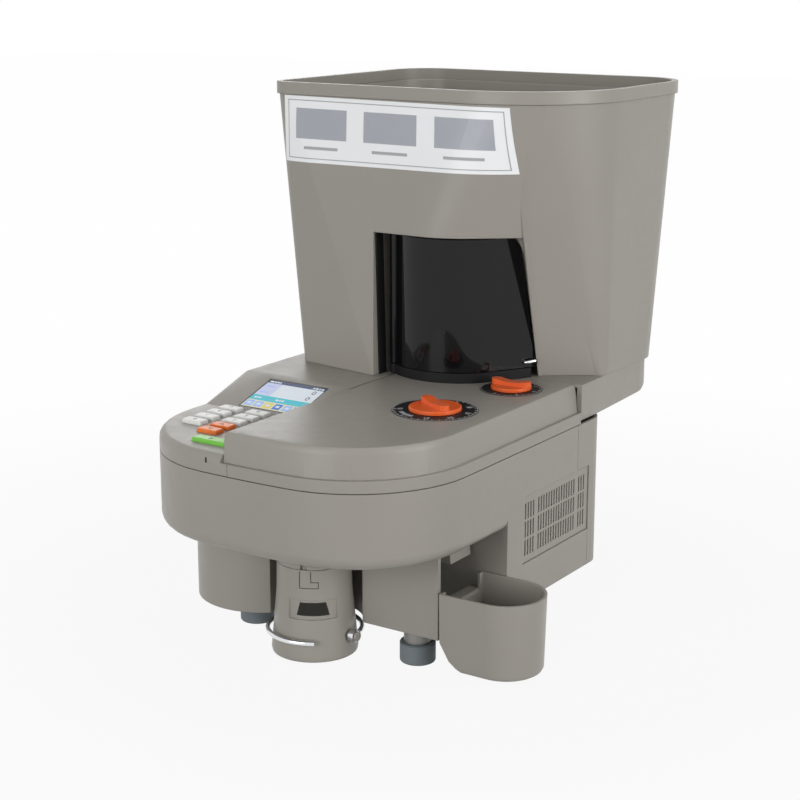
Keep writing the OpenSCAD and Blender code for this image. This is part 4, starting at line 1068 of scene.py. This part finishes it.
@dataclass
class Keypad:
    """Figures and signs printed on the keys."""

    figure_height: float = 4.6 * MM
    sign_size: float = 2.2 * MM
    figures: dict[str, str] = field(default_factory=lambda: {
        "key_grey_1": "0", "key_grey_2": "1", "key_grey_3": "4", "key_grey_4": "7", "key_grey_5": "2",
        "key_grey_6": "5", "key_grey_7": "8", "key_grey_8": "3", "key_grey_9": "6", "key_grey_10": "9"})
    signs: dict[str, Sign] = field(default_factory=lambda: {
        "key_orange_1": Sign.DOWN, "key_orange_2": Sign.BAR, "key_orange_3": Sign.UP,
        "key_orange_4": Sign.RING, "key_green": Sign.START})

    def top_of(self, key: str) -> Face:
        """Find the top of a key.

        Args:
            key: Node of the key.

        Returns:
            Its top face.
        """
        low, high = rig.box(key)
        middle = (low + high) / 2
        return Face(Vector((middle.x, middle.y, high.z)), Vector((1, 0, 0)), Vector((0, 1, 0)))

    def build(self) -> None:
        """Print every key."""
        for key, text in self.figures.items():
            marks = Marks(key + "_figure", self.top_of(key))
            marks.words(text, self.figure_height, (0.0, 0.0), PRINT_DARK)
            marks.build(NODE_BODY[key], NODE_SLOT[key])
        for key, sign in self.signs.items():
            marks = Marks(key + "_sign", self.top_of(key))
            self.draw(marks, sign)
            marks.build(NODE_BODY[key], NODE_SLOT[key])

    def draw(self, marks: Marks, sign: Sign) -> None:
        """Draw one sign, as multiples of the sign size.

        Args:
            marks: Marks of the key.
            sign: The sign.
        """
        s = self.sign_size
        if sign is Sign.BAR:
            marks.area(round_rect(3.2 * s, 0.6 * s, 0.25 * s), PRINT_DARK)
        elif sign is Sign.RING:
            marks.band((0.7 * s, s), (0, 360), PRINT_DARK)
        elif sign is Sign.START:
            marks.area([(-s, -s), (1.1 * s, 0.0), (-s, s)], PRINT_DARK)
        else:
            way = 1 if sign is Sign.UP else -1
            outline = [(-1.2 * s, -0.7 * s * way), (1.2 * s, -0.7 * s * way), (0.0, 0.9 * s * way)]
            marks.area(outline[::way], PRINT_DARK)


@dataclass
class Display:
    """Picture on the sloping display, in millimetres about the middle of the glass.

    A stroke is its left end and its width, and a pair of margins is the lower and the upper one.
    """

    width: float = 63.0
    height: float = 47.0
    shares: tuple[float, float, float, float] = (0.105, 0.455, 0.185, 0.255)
    layers: Point2 = (0.02, 0.07)
    facing: Point2 = (0.8, -0.1)
    flat: float = 0.01
    header_up: Point2 = (1.2, 2.4)
    header_strokes: tuple[Point2, ...] = (
        (-30.0, 4.0), (-25.0, 2.2), (-22.0, 2.2), (-19.0, 1.2), (18.0, 1.6), (20.5, 3.0), (24.5, 1.6),
        (27.0, 3.0))
    column_right: float = -14.5
    count_rows: Point2 = (5.2, -5.2)
    count_right: float = 24.0
    count_size: float = 6.2
    count_lift: float = 0.1
    count_strokes: tuple[Point2, ...] = ((-29.0, 3.4), (-24.6, 1.4), (-22.2, 2.6))
    count_half: float = 0.9
    bar_strokes: tuple[Point2, ...] = (
        (-28.0, 2.6), (-24.6, 1.2), (-22.6, 2.2), (-4.0, 3.2), (0.2, 1.4), (2.6, 2.4))
    bar_half: float = 1.3
    tile_side: float = 1.1
    tile_margins: Point2 = (1.6, 1.4)
    sign_side: float = 2.2
    sign_margins: Point2 = (4.6, 4.2)

    def face(self) -> Face:
        """Find the glass of the display.

        Returns:
            The glass face.
        """
        mesh = frame["nodes"]["display_module"].data
        tilted = [p for p in mesh.polygons if p.normal.z > self.facing[0] and p.normal.y < self.facing[1]]
        out = max(tilted, key=lambda p: p.area).normal.copy()
        reach = max(v.co.dot(out) for v in mesh.vertices)
        top = [v.co for v in mesh.vertices if reach - v.co.dot(out) < self.flat * MM]
        middle = sum(top, Vector()) / len(top)
        right = Vector((1, 0, 0))
        return Face(middle, right, out.cross(right))

    def build(self) -> None:
        """Draw the picture."""
        marks = Marks("display_picture", self.face())
        top = self.height / 2
        rows = []
        for share in self.shares:
            rows.append((top - share * self.height, top))
            top -= share * self.height
        for (low, high), finish in zip(rows, (LIT_NAVY, LIT_PALE, LIT_CYAN, LIT_CREAM)):
            self.block(marks, (-self.width / 2, self.width / 2), (low, high), finish, 0)
        self.header(marks, rows[0])
        self.counts(marks, rows[1])
        self.bar(marks, rows[2])
        self.tiles(marks, rows[3])
        marks.build("machine", "display_glass")

    def block(self, marks: Marks, across: Point2, up: Point2, finish: Finish, level: int) -> None:
        """Draw one rectangle.

        Args:
            marks: Marks of the picture.
            across: Left and right limit in millimetres.
            up: Lower and upper limit in millimetres.
            finish: Finish of the rectangle.
            level: Layer of the drawing.
        """
        outline = [(across[0] * MM, up[0] * MM), (across[1] * MM, up[0] * MM),
                   (across[1] * MM, up[1] * MM), (across[0] * MM, up[1] * MM)]
        marks.area(outline, finish, (self.layers[0] + self.layers[1] * level) * MM)

    def strokes(self, marks: Marks, strokes: Sequence[Point2], up: Point2, finish: Finish,
                level: int) -> None:
        """Draw a row of short strokes.

        Args:
            marks: Marks of the picture.
            strokes: Left end and width of each stroke.
            up: Lower and upper limit in millimetres.
            finish: Finish of the strokes.
            level: Layer of the drawing.
        """
        for left, width in strokes:
            self.block(marks, (left, left + width), up, finish, level)

    def header(self, marks: Marks, row: Point2) -> None:
        """Draw the small signs of the header."""
        low = row[0] + self.header_up[0]
        self.strokes(marks, self.header_strokes, (low, low + self.header_up[1]), LIT_PALE, 1)

    def counts(self, marks: Marks, row: Point2) -> None:
        """Draw the two counts and the tinted column beside them.

        Args:
            marks: Marks of the picture.
            row: Lower and upper limit of the row in millimetres.
        """
        self.block(marks, (-self.width / 2, self.column_right), row, LIT_MIST, 1)
        for lift in self.count_rows:
            middle = (row[0] + row[1]) / 2 + lift
            marks.words("0", self.count_size * MM, (self.count_right * MM, middle * MM), LIT_INK,
                        lift=self.count_lift * MM)
            up = (middle - self.count_half, middle + self.count_half)
            self.strokes(marks, self.count_strokes, up, LIT_SKY, 2)

    def bar(self, marks: Marks, row: Point2) -> None:
        """Draw the short strokes of the middle bar."""
        middle = (row[0] + row[1]) / 2
        self.strokes(marks, self.bar_strokes, (middle - self.bar_half, middle + self.bar_half), LIT_PALE, 1)

    def tiles(self, marks: Marks, row: Point2) -> None:
        """Draw the row of coloured tiles.

        Args:
            marks: Marks of the picture.
            row: Lower and upper limit of the row in millimetres.
        """
        kinds = (LIT_SKY, LIT_SKY, LIT_YELLOW, LIT_BLUE, LIT_SKY, LIT_BLUE)
        pitch = self.width / len(kinds)
        for i, finish in enumerate(kinds):
            left = -self.width / 2 + i * pitch + self.tile_side
            right = left + pitch - 2 * self.tile_side
            up = (row[0] + self.tile_margins[0], row[1] - self.tile_margins[1])
            self.block(marks, (left, right), up, finish, 1)
            up = (row[0] + self.sign_margins[0], row[1] - self.sign_margins[1])
            self.block(marks, (left + self.sign_side, right - self.sign_side), up, LIT_PALE, 2)


@dataclass
class DialScale:
    """Painted highlight ring along the plate's rim, with ticks and figures round one dial, in millimetres."""

    name: str
    knob: str
    radius: float
    figure_radius: float
    figure_height: float
    figures: tuple[str, ...]
    rest_turn: float
    pitch: float
    window: Optional[Point2] = None
    window_band: Point2 = (9.0, 5.2)
    # Depths under the plate's rim of the grey ring, a painted highlight of the rim.
    ring: Point2 = (0.9, 0.3)
    parts: int = 4
    tick_gap: float = 1.4
    long_tick: float = 2.6
    short_tick: float = 1.5
    tick_half: float = 0.5

    def band(self, depths: Point2) -> Point2:
        """Turn two depths under the rim of the plate into radii in metres."""
        return ((self.radius - depths[0]) * MM, (self.radius - depths[1]) * MM)

    def build(self) -> None:
        """Print the scale on its plate, with the painted highlight ring along its rim."""
        low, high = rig.box(self.knob)
        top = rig.box("dial_plates")[1].z
        middle = (low + high) / 2
        face = Face(Vector((middle.x, middle.y, top)), Vector((1, 0, 0)), Vector((0, 1, 0)))
        marks = Marks(self.name, face)
        # Grey band just inside the plate's rim: a painted highlight of the plate's edge.
        marks.band(self.band(self.ring), (0, 360), PRINT_AND_HIGHLIGHT_GREY)
        count = len(self.figures)
        for i, text in enumerate(self.figures):
            angle = self.rest_turn + self.pitch * (i - (count - 1) / 2)
            a = math.radians(angle)
            place = (self.figure_radius * math.cos(a) * MM, self.figure_radius * math.sin(a) * MM)
            marks.words(text, self.figure_height * MM, place, PRINT_WHITE, a - math.pi / 2)
        for i in range(self.parts * (count - 1) + 1):
            angle = self.rest_turn + self.pitch * (i / self.parts - (count - 1) / 2)
            length = self.long_tick if i % self.parts == 0 else self.short_tick
            marks.band(self.band((self.tick_gap + length, self.tick_gap)),
                       (angle - self.tick_half, angle + self.tick_half), PRINT_WHITE)
        if self.window is not None:
            marks.band(self.band(self.window_band), self.window, PRINT_SILVER)
        marks.build("machine", "dark_plastic")


@dataclass
class HopperLabel:
    """Paper label that lies on the front of the hopper, in millimetres in the part's frame."""

    left: Point2 = (-159.4, -160.0)
    right: Point2 = (74.2, 76.4)
    top: Point2 = (462.0, 460.3)
    bottom: Point2 = (402.1, 402.8)
    columns: int = 64
    rows: int = 12
    paper: Point2 = (0.06, 0.30)
    line_print: Point2 = (0.2, 0.42)
    field_print: Point2 = (0.2, 0.46)
    long_lines: tuple[Point2, ...] = ((0.93, 0.945), (0.055, 0.07))
    long_reach: Point2 = (0.02, 0.98)
    long_cells: tuple[int, int] = (56, 1)
    short_lines: tuple[Point2, ...] = ((0.02, 0.0235), (0.9765, 0.98))
    short_reach: Point2 = (0.07, 0.93)
    short_cells: tuple[int, int] = (1, 8)
    fields: tuple[Point2, ...] = ((0.06, 0.30), (0.38, 0.62), (0.70, 0.94))
    field_reach: Point2 = (0.36, 0.82)
    field_cells: tuple[int, int] = (32, 6)
    bar_half: float = 0.08
    bar_reach: Point2 = (0.20, 0.245)
    bar_cells: tuple[int, int] = (10, 1)
    tree: Optional[BVHTree] = None

    def build(self) -> None:
        """Lay the label and its plain design."""
        points: list[Vector] = []
        faces: list[list[int]] = []
        for mesh in (frame["nodes"]["hopper_shell"].data, bpy.data.meshes["hopper_brow"],
                     bpy.data.meshes["hopper_wing"]):
            start = len(points)
            points += [v.co.copy() for v in mesh.vertices]
            faces += [[start + i for i in p.vertices] for p in mesh.polygons]
        self.tree = BVHTree.FromPolygons(points, faces)
        bm = bmesh.new()
        self.patch(bm, (0.0, 1.0), (0.0, 1.0), (self.columns, self.rows), self.paper, 0)
        self.design(bm)
        bmesh.ops.recalc_face_normals(bm, faces=bm.faces)
        made = bpy.data.meshes.new("hopper_label")
        bm.to_mesh(made)
        bm.free()
        for finish in (LABEL_PAPER, PRINT_AND_HIGHLIGHT_GREY, PRINT_SILVER):
            made.materials.append(finish.make())
        add_piece("hopper_label", made, "machine", "casing_plastic")

    def at(self, u: float, v: float, out: float) -> Vector:
        """Find a point over the hopper's front.

        Args:
            u: Share of the way from left to right.
            v: Share of the way from bottom to top.
            out: Height over the wall in millimetres.

        Returns:
            The point.
        """
        low = self.left[1] + (self.right[1] - self.left[1]) * u
        high = self.left[0] + (self.right[0] - self.left[0]) * u
        x = low + (high - low) * v
        z0 = self.bottom[0] + (self.bottom[1] - self.bottom[0]) * u
        z1 = self.top[0] + (self.top[1] - self.top[0]) * u
        z = z0 + (z1 - z0) * v
        hit, normal, _, _ = self.tree.ray_cast(Vector((x * MM, -1.0, z * MM)), Vector((0, 1, 0)))
        if normal.y > 0:
            normal = -normal
        return hit + normal * out * MM

    def patch(self, bm: bmesh.types.BMesh, across: Point2, up: Point2, cells: tuple[int, int],
              layer: Point2, number: int) -> None:
        """Lay a thin plate that follows the wall.

        Args:
            bm: Mesh that takes it.
            across: Left and right share.
            up: Lower and upper share.
            cells: Cells across and up.
            layer: Height of its underside and of its top in millimetres.
            number: Material number.
        """
        sides = []
        for out in layer[::-1]:
            grid = []
            for i in range(cells[0] + 1):
                u = across[0] + (across[1] - across[0]) * i / cells[0]
                levels = [up[0] + (up[1] - up[0]) * k / cells[1] for k in range(cells[1] + 1)]
                grid.append([self.at(u, v, out) for v in levels])
            sides.append(grid)
        add_plate(bm, sides[0], sides[1], number)

    def design(self, bm: bmesh.types.BMesh) -> None:
        """Add a plain frame and three blank fields of its own layout.

        Args:
            bm: Mesh that takes the design.
        """
        for up in self.long_lines:
            self.patch(bm, self.long_reach, up, self.long_cells, self.line_print, 1)
        for across in self.short_lines:
            self.patch(bm, across, self.short_reach, self.short_cells, self.line_print, 1)
        for across in self.fields:
            self.patch(bm, across, self.field_reach, self.field_cells, self.field_print, 2)
            middle = (across[0] + across[1]) / 2
            self.patch(bm, (middle - self.bar_half, middle + self.bar_half), self.bar_reach, self.bar_cells,
                       self.line_print, 1)


@dataclass
class DoorPull:
    """Small bright pull on the free edge of the door, in millimetres of the drawing."""

    length: float = 9.0
    radius: float = 1.7
    stand_off: float = 3.6
    place: Point3 = (88.4, 299.6, 229.0)
    out: Point2 = (0.866, -0.5)
    along: Point2 = (0.5, 0.866)
    root: float = 1.0
    bend: Point2 = (0.7, 0.3)
    rise: float = 1.0
    round_steps: int = 5
    crease: float = math.radians(40)

    def build(self) -> None:
        """Bend the pull and set it on the door."""
        path = []
        for out, along, up in ((-self.root, 0.0, 0.0), (self.bend[0] * self.stand_off, 0.0, 0.0),
                               (self.stand_off, self.bend[1] * self.length, self.rise / 2),
                               (self.stand_off, self.length, self.rise)):
            path.append(placed(self.place[0] + self.out[0] * out + self.along[0] * along,
                               self.place[1] + self.out[1] * out + self.along[1] * along, self.place[2] + up))
        curve = bpy.data.curves.new("door_pull", "CURVE")
        curve.dimensions = "3D"
        curve.bevel_depth = self.radius * MM
        curve.bevel_resolution = self.round_steps
        curve.use_fill_caps = True
        spline = curve.splines.new("BEZIER")
        spline.bezier_points.add(len(path) - 1)
        for point, place in zip(spline.bezier_points, path):
            point.co = place
            point.handle_left_type = "AUTO"
            point.handle_right_type = "AUTO"
        holder = bpy.data.objects.new("door_pull_path", curve)
        bpy.context.scene.collection.objects.link(holder)
        mesh = bpy.data.meshes.new_from_object(holder.evaluated_get(bpy.context.evaluated_depsgraph_get()))
        bpy.data.objects.remove(holder)
        bpy.data.curves.remove(curve)
        mesh.shade_smooth()
        mesh.set_sharp_from_angle(angle=self.crease)
        mesh.materials.clear()
        mesh.materials.append(BRIGHT.make())
        add_piece("door_pull", mesh, "door", "bright_steel")


@dataclass
class SmallFittings:
    """Dark strips of painted shade: one for the shaded recess of the latch slot in the panel's lip, and lines for the
    shaded edges of the bayonet slot on the spout, in millimetres of the drawing.
    """

    latch: tuple[Point3, ...] = ((-37.2, 0.75, 186.6), (-37.4, 0.85, 188.6), (-37.7, 1.45, 190.9))
    latch_width: float = 1.7
    latch_proud: float = 0.12
    latch_inward: Point3 = (0.0, 0.6, -0.1)
    crease: float = 30.0
    spout_axis: Point2 = (2.8, 92.0)
    spout_top: float = 84.0
    spout_reach: float = 32.36
    spout_lean: float = 0.0235
    line_depth: float = 1.4
    line_step: float = 4.0
    bayonet: tuple[tuple[float, float, float, float], ...] = (
        (-76.2, -75.4, 69.6, 84.5), (-76.2, -47.0, 69.6, 70.05), (-59.0, -58.2, 74.9, 84.5),
        (-59.0, -47.0, 74.9, 75.35), (-47.8, -47.0, 69.6, 75.35))

    def build(self) -> None:
        """Make the two pieces of painted shade."""
        # Black plate just proud of the panel's lip: painted shade where the latch slot's recess is.
        bm = bmesh.new()
        half = self.latch_width / 2
        columns = [[placed(x + dx, y - self.latch_proud, z) for x, y, z in self.latch]
                   for dx in (-half, half)]
        add_plate(bm, columns, [[p + Vector(self.latch_inward) * MM for p in column] for column in columns])
        add_piece("latch_slot_painted_shade", finish_mesh("latch_slot_painted_shade", bm, BLACK, self.crease), "machine", "dark_plastic")
        # Black strips on the spout's face along the edges of the L-shaped bayonet slot: painted shade of the slot's
        # gaps.
        bm = bmesh.new()
        for first, last, low, high in self.bayonet:
            steps = max(2, round(abs(last - first) / self.line_step))
            turns = [first + (last - first) * i / steps for i in range(steps + 1)]
            front, back = [[[placed(*on_circle(self.spout_axis, self.reach(z) - depth, a), z)
                             for z in (low, high)] for a in turns] for depth in (0.0, self.line_depth)]
            add_plate(bm, front, back)
        mesh = finish_mesh("bayonet_slot_painted_shade", bm, BLACK, self.crease)
        add_piece("bayonet_slot_painted_shade", mesh, NODE_BODY["bag_spout"], "dark_plastic")

    def reach(self, height: float) -> float:
        """Give how far the lines stand from the spout's axis at a height."""
        return self.spout_reach + self.spout_lean * (self.spout_top - height)


@dataclass(frozen=True)
class Lamp:
    """Square soft lamp: where it hangs, what it points at, its side and its power in watts."""

    name: str
    place: Point3
    target: Point3
    size: float
    power: float

    def hang(self) -> None:
        """Put the lamp into the scene."""
        light = bpy.data.lights.new(self.name, "AREA")
        light.size = self.size
        light.energy = self.power
        obj = bpy.data.objects.new(self.name, light)
        obj.location = self.place
        obj.rotation_euler = (Vector(self.target) - Vector(self.place)).to_track_quat("-Z", "Y").to_euler()
        bpy.context.scene.collection.objects.link(obj)


@dataclass
class Studio:
    """Pale floor, soft light and the camera at the photograph's angle."""

    eye: Point3 = (0.8288, -1.29225, 0.587)
    pitch: float = math.radians(90 - 14.30)
    heading: float = math.radians(33.70)
    lens: float = 78.75
    sensor: float = 36.0
    far: float = 50.0
    lamps: tuple[Lamp, ...] = (
        Lamp("front_light", (-0.2, -2.2, 0.62), (0.0, 0.0, 0.36), 1.1, 20.5),
        Lamp("right_light", (2.2, -0.1, 0.62), (0.0, 0.05, 0.30), 1.1, 23.5),
        Lamp("back_light", (-1.6, 2.0, 1.1), (0.0, 0.0, 0.25), 1.4, 9.0),
        Lamp("top_light", (0.1, 0.35, 1.9), (0.0, 0.1, 0.4), 0.6, 6.0))
    floor_size: float = 14.0
    floor_grey: float = 0.36
    ambient: Point2 = (0.90, 0.20)
    ambient_reach: float = 0.75
    floor_reach: Point2 = (0.30, 0.95)
    floor_white: Point2 = (0.92, 0.99)

    def build(self) -> None:
        """Set up the floor, the world, the lamps and the camera."""
        self.floor()
        self.world()
        for lamp in self.lamps:
            lamp.hang()
        self.camera()
        bpy.context.scene.view_settings.view_transform = "Standard"

    def seen(self, desk_tree: bpy.types.NodeTree) -> bpy.types.NodeSocket:
        """Tell the rays that should see the white background.

        Args:
            desk_tree: Node tree that takes the nodes.

        Returns:
            Socket that is 1 for camera, glossy and transmission rays.
        """
        path = desk_tree.nodes.new("ShaderNodeLightPath")
        result = path.outputs["Is Camera Ray"]
        for name in ("Is Glossy Ray", "Is Transmission Ray"):
            either = desk_tree.nodes.new("ShaderNodeMath")
            either.operation = "MAXIMUM"
            desk_tree.links.new(result, either.inputs[0])
            desk_tree.links.new(path.outputs[name], either.inputs[1])
            result = either.outputs["Value"]
        return result

    def floor(self) -> None:
        """Lay the floor, pale and with the object's shadow."""
        mesh = bpy.data.meshes.new("floor")
        half = self.floor_size / 2
        corners = [(-half, -half, 0), (half, -half, 0), (half, half, 0), (-half, half, 0)]
        mesh.from_pydata(corners, [], [(0, 1, 2, 3)])
        desk = ShaderDesk("floor_white")
        matte = desk.node("ShaderNodeBsdfDiffuse", Color=(*[self.floor_grey] * 3, 1.0))
        white = desk.node("ShaderNodeEmission", Color=WHITE, Strength=1.0)
        reach = desk.node("ShaderNodeVectorMath", operation="LENGTH")
        desk.link(desk.node("ShaderNodeTexCoord").outputs["Object"], reach.inputs[0])
        share = desk.node("ShaderNodeMath", operation="MULTIPLY")
        desk.link(self.seen(desk.tree), share.inputs[0])
        desk.link(desk.spread(reach.outputs["Value"], self.floor_reach, self.floor_white), share.inputs[1])
        both = desk.node("ShaderNodeMixShader")
        desk.link(share.outputs["Value"], both.inputs["Fac"])
        desk.link(matte.outputs["BSDF"], both.inputs[1])
        desk.link(white.outputs["Emission"], both.inputs[2])
        desk.link(both.outputs["Shader"], desk.output.inputs["Surface"])
        mesh.materials.append(desk.material)
        ground = bpy.data.objects.new("floor", mesh)
        bpy.context.scene.collection.objects.link(ground)
        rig.stage(ground)

    def world(self) -> None:
        """Make the surroundings white to the eye and soft as light."""
        world = bpy.data.worlds.new("studio")
        bpy.context.scene.world = world
        world.use_nodes = True
        tree = world.node_tree
        tree.nodes.clear()
        soft = tree.nodes.new("ShaderNodeBackground")
        soft.inputs["Color"].default_value = WHITE
        self.fade_upwards(tree, soft.inputs["Strength"])
        white = tree.nodes.new("ShaderNodeBackground")
        white.inputs["Color"].default_value = WHITE
        white.inputs["Strength"].default_value = 1.0
        both = tree.nodes.new("ShaderNodeMixShader")
        out = tree.nodes.new("ShaderNodeOutputWorld")
        tree.links.new(self.seen(tree), both.inputs["Fac"])
        tree.links.new(soft.outputs["Background"], both.inputs[1])
        tree.links.new(white.outputs["Background"], both.inputs[2])
        tree.links.new(both.outputs["Shader"], out.inputs["Surface"])

    def fade_upwards(self, tree: bpy.types.NodeTree, strength: bpy.types.NodeSocket) -> None:
        """Let the surroundings' light fall from the horizon to the zenith.

        Args:
            tree: Node tree of the world.
            strength: Socket that takes the strength.
        """
        way = tree.nodes.new("ShaderNodeTexCoord")
        parts = tree.nodes.new("ShaderNodeSeparateXYZ")
        fall = tree.nodes.new("ShaderNodeMapRange")
        tree.links.new(way.outputs["Generated"], parts.inputs[0])
        tree.links.new(parts.outputs["Z"], fall.inputs["Value"])
        fall.inputs["From Max"].default_value = self.ambient_reach
        fall.inputs["To Min"].default_value = self.ambient[0]
        fall.inputs["To Max"].default_value = self.ambient[1]
        tree.links.new(fall.outputs["Result"], strength)

    def camera(self) -> None:
        """Set the camera."""
        lens = bpy.data.cameras.new("camera")
        lens.lens = self.lens
        lens.sensor_width = self.sensor
        lens.clip_end = self.far
        obj = bpy.data.objects.new("camera", lens)
        obj.location = self.eye
        obj.rotation_euler = Euler((self.pitch, 0.0, self.heading))
        bpy.context.scene.collection.objects.link(obj)
        bpy.context.scene.camera = obj


def write_sizes() -> None:
    low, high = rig.bounds()
    sizes = {"cad": [list(cad_low), list(cad_high)], "visual": [list(low), list(high)]}
    with open("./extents.json", "w", encoding="utf-8") as handle:
        json.dump(sizes, handle)


def main() -> None:
    """Build the sub-assemblies in order."""
    logging.basicConfig(level=logging.INFO, format="%(message)s")
    Studio().build()
    Housing().build()
    HopperFront().build()
    SmokedDoor().build()
    Keypad().build()
    Display().build()
    DialScale("diameter_scale", "diameter_knob", radius=36.5, figure_radius=29.6, figure_height=4.2,
              figures=("15", "18", "21", "24", "27", "30", "33"), rest_turn=-32.0, pitch=40.0,
              window=(225.0, 262.0)).build()
    DialScale("thickness_scale", "thickness_knob", radius=27.5, figure_radius=22.4, figure_height=3.4,
              figures=("1", "2", "3", "4", "5"), rest_turn=2.0, pitch=50.0).build()
    HopperLabel().build()
    DoorPull().build()
    SmallFittings().build()
    write_sizes()


if __name__ == "__main__":
    main()
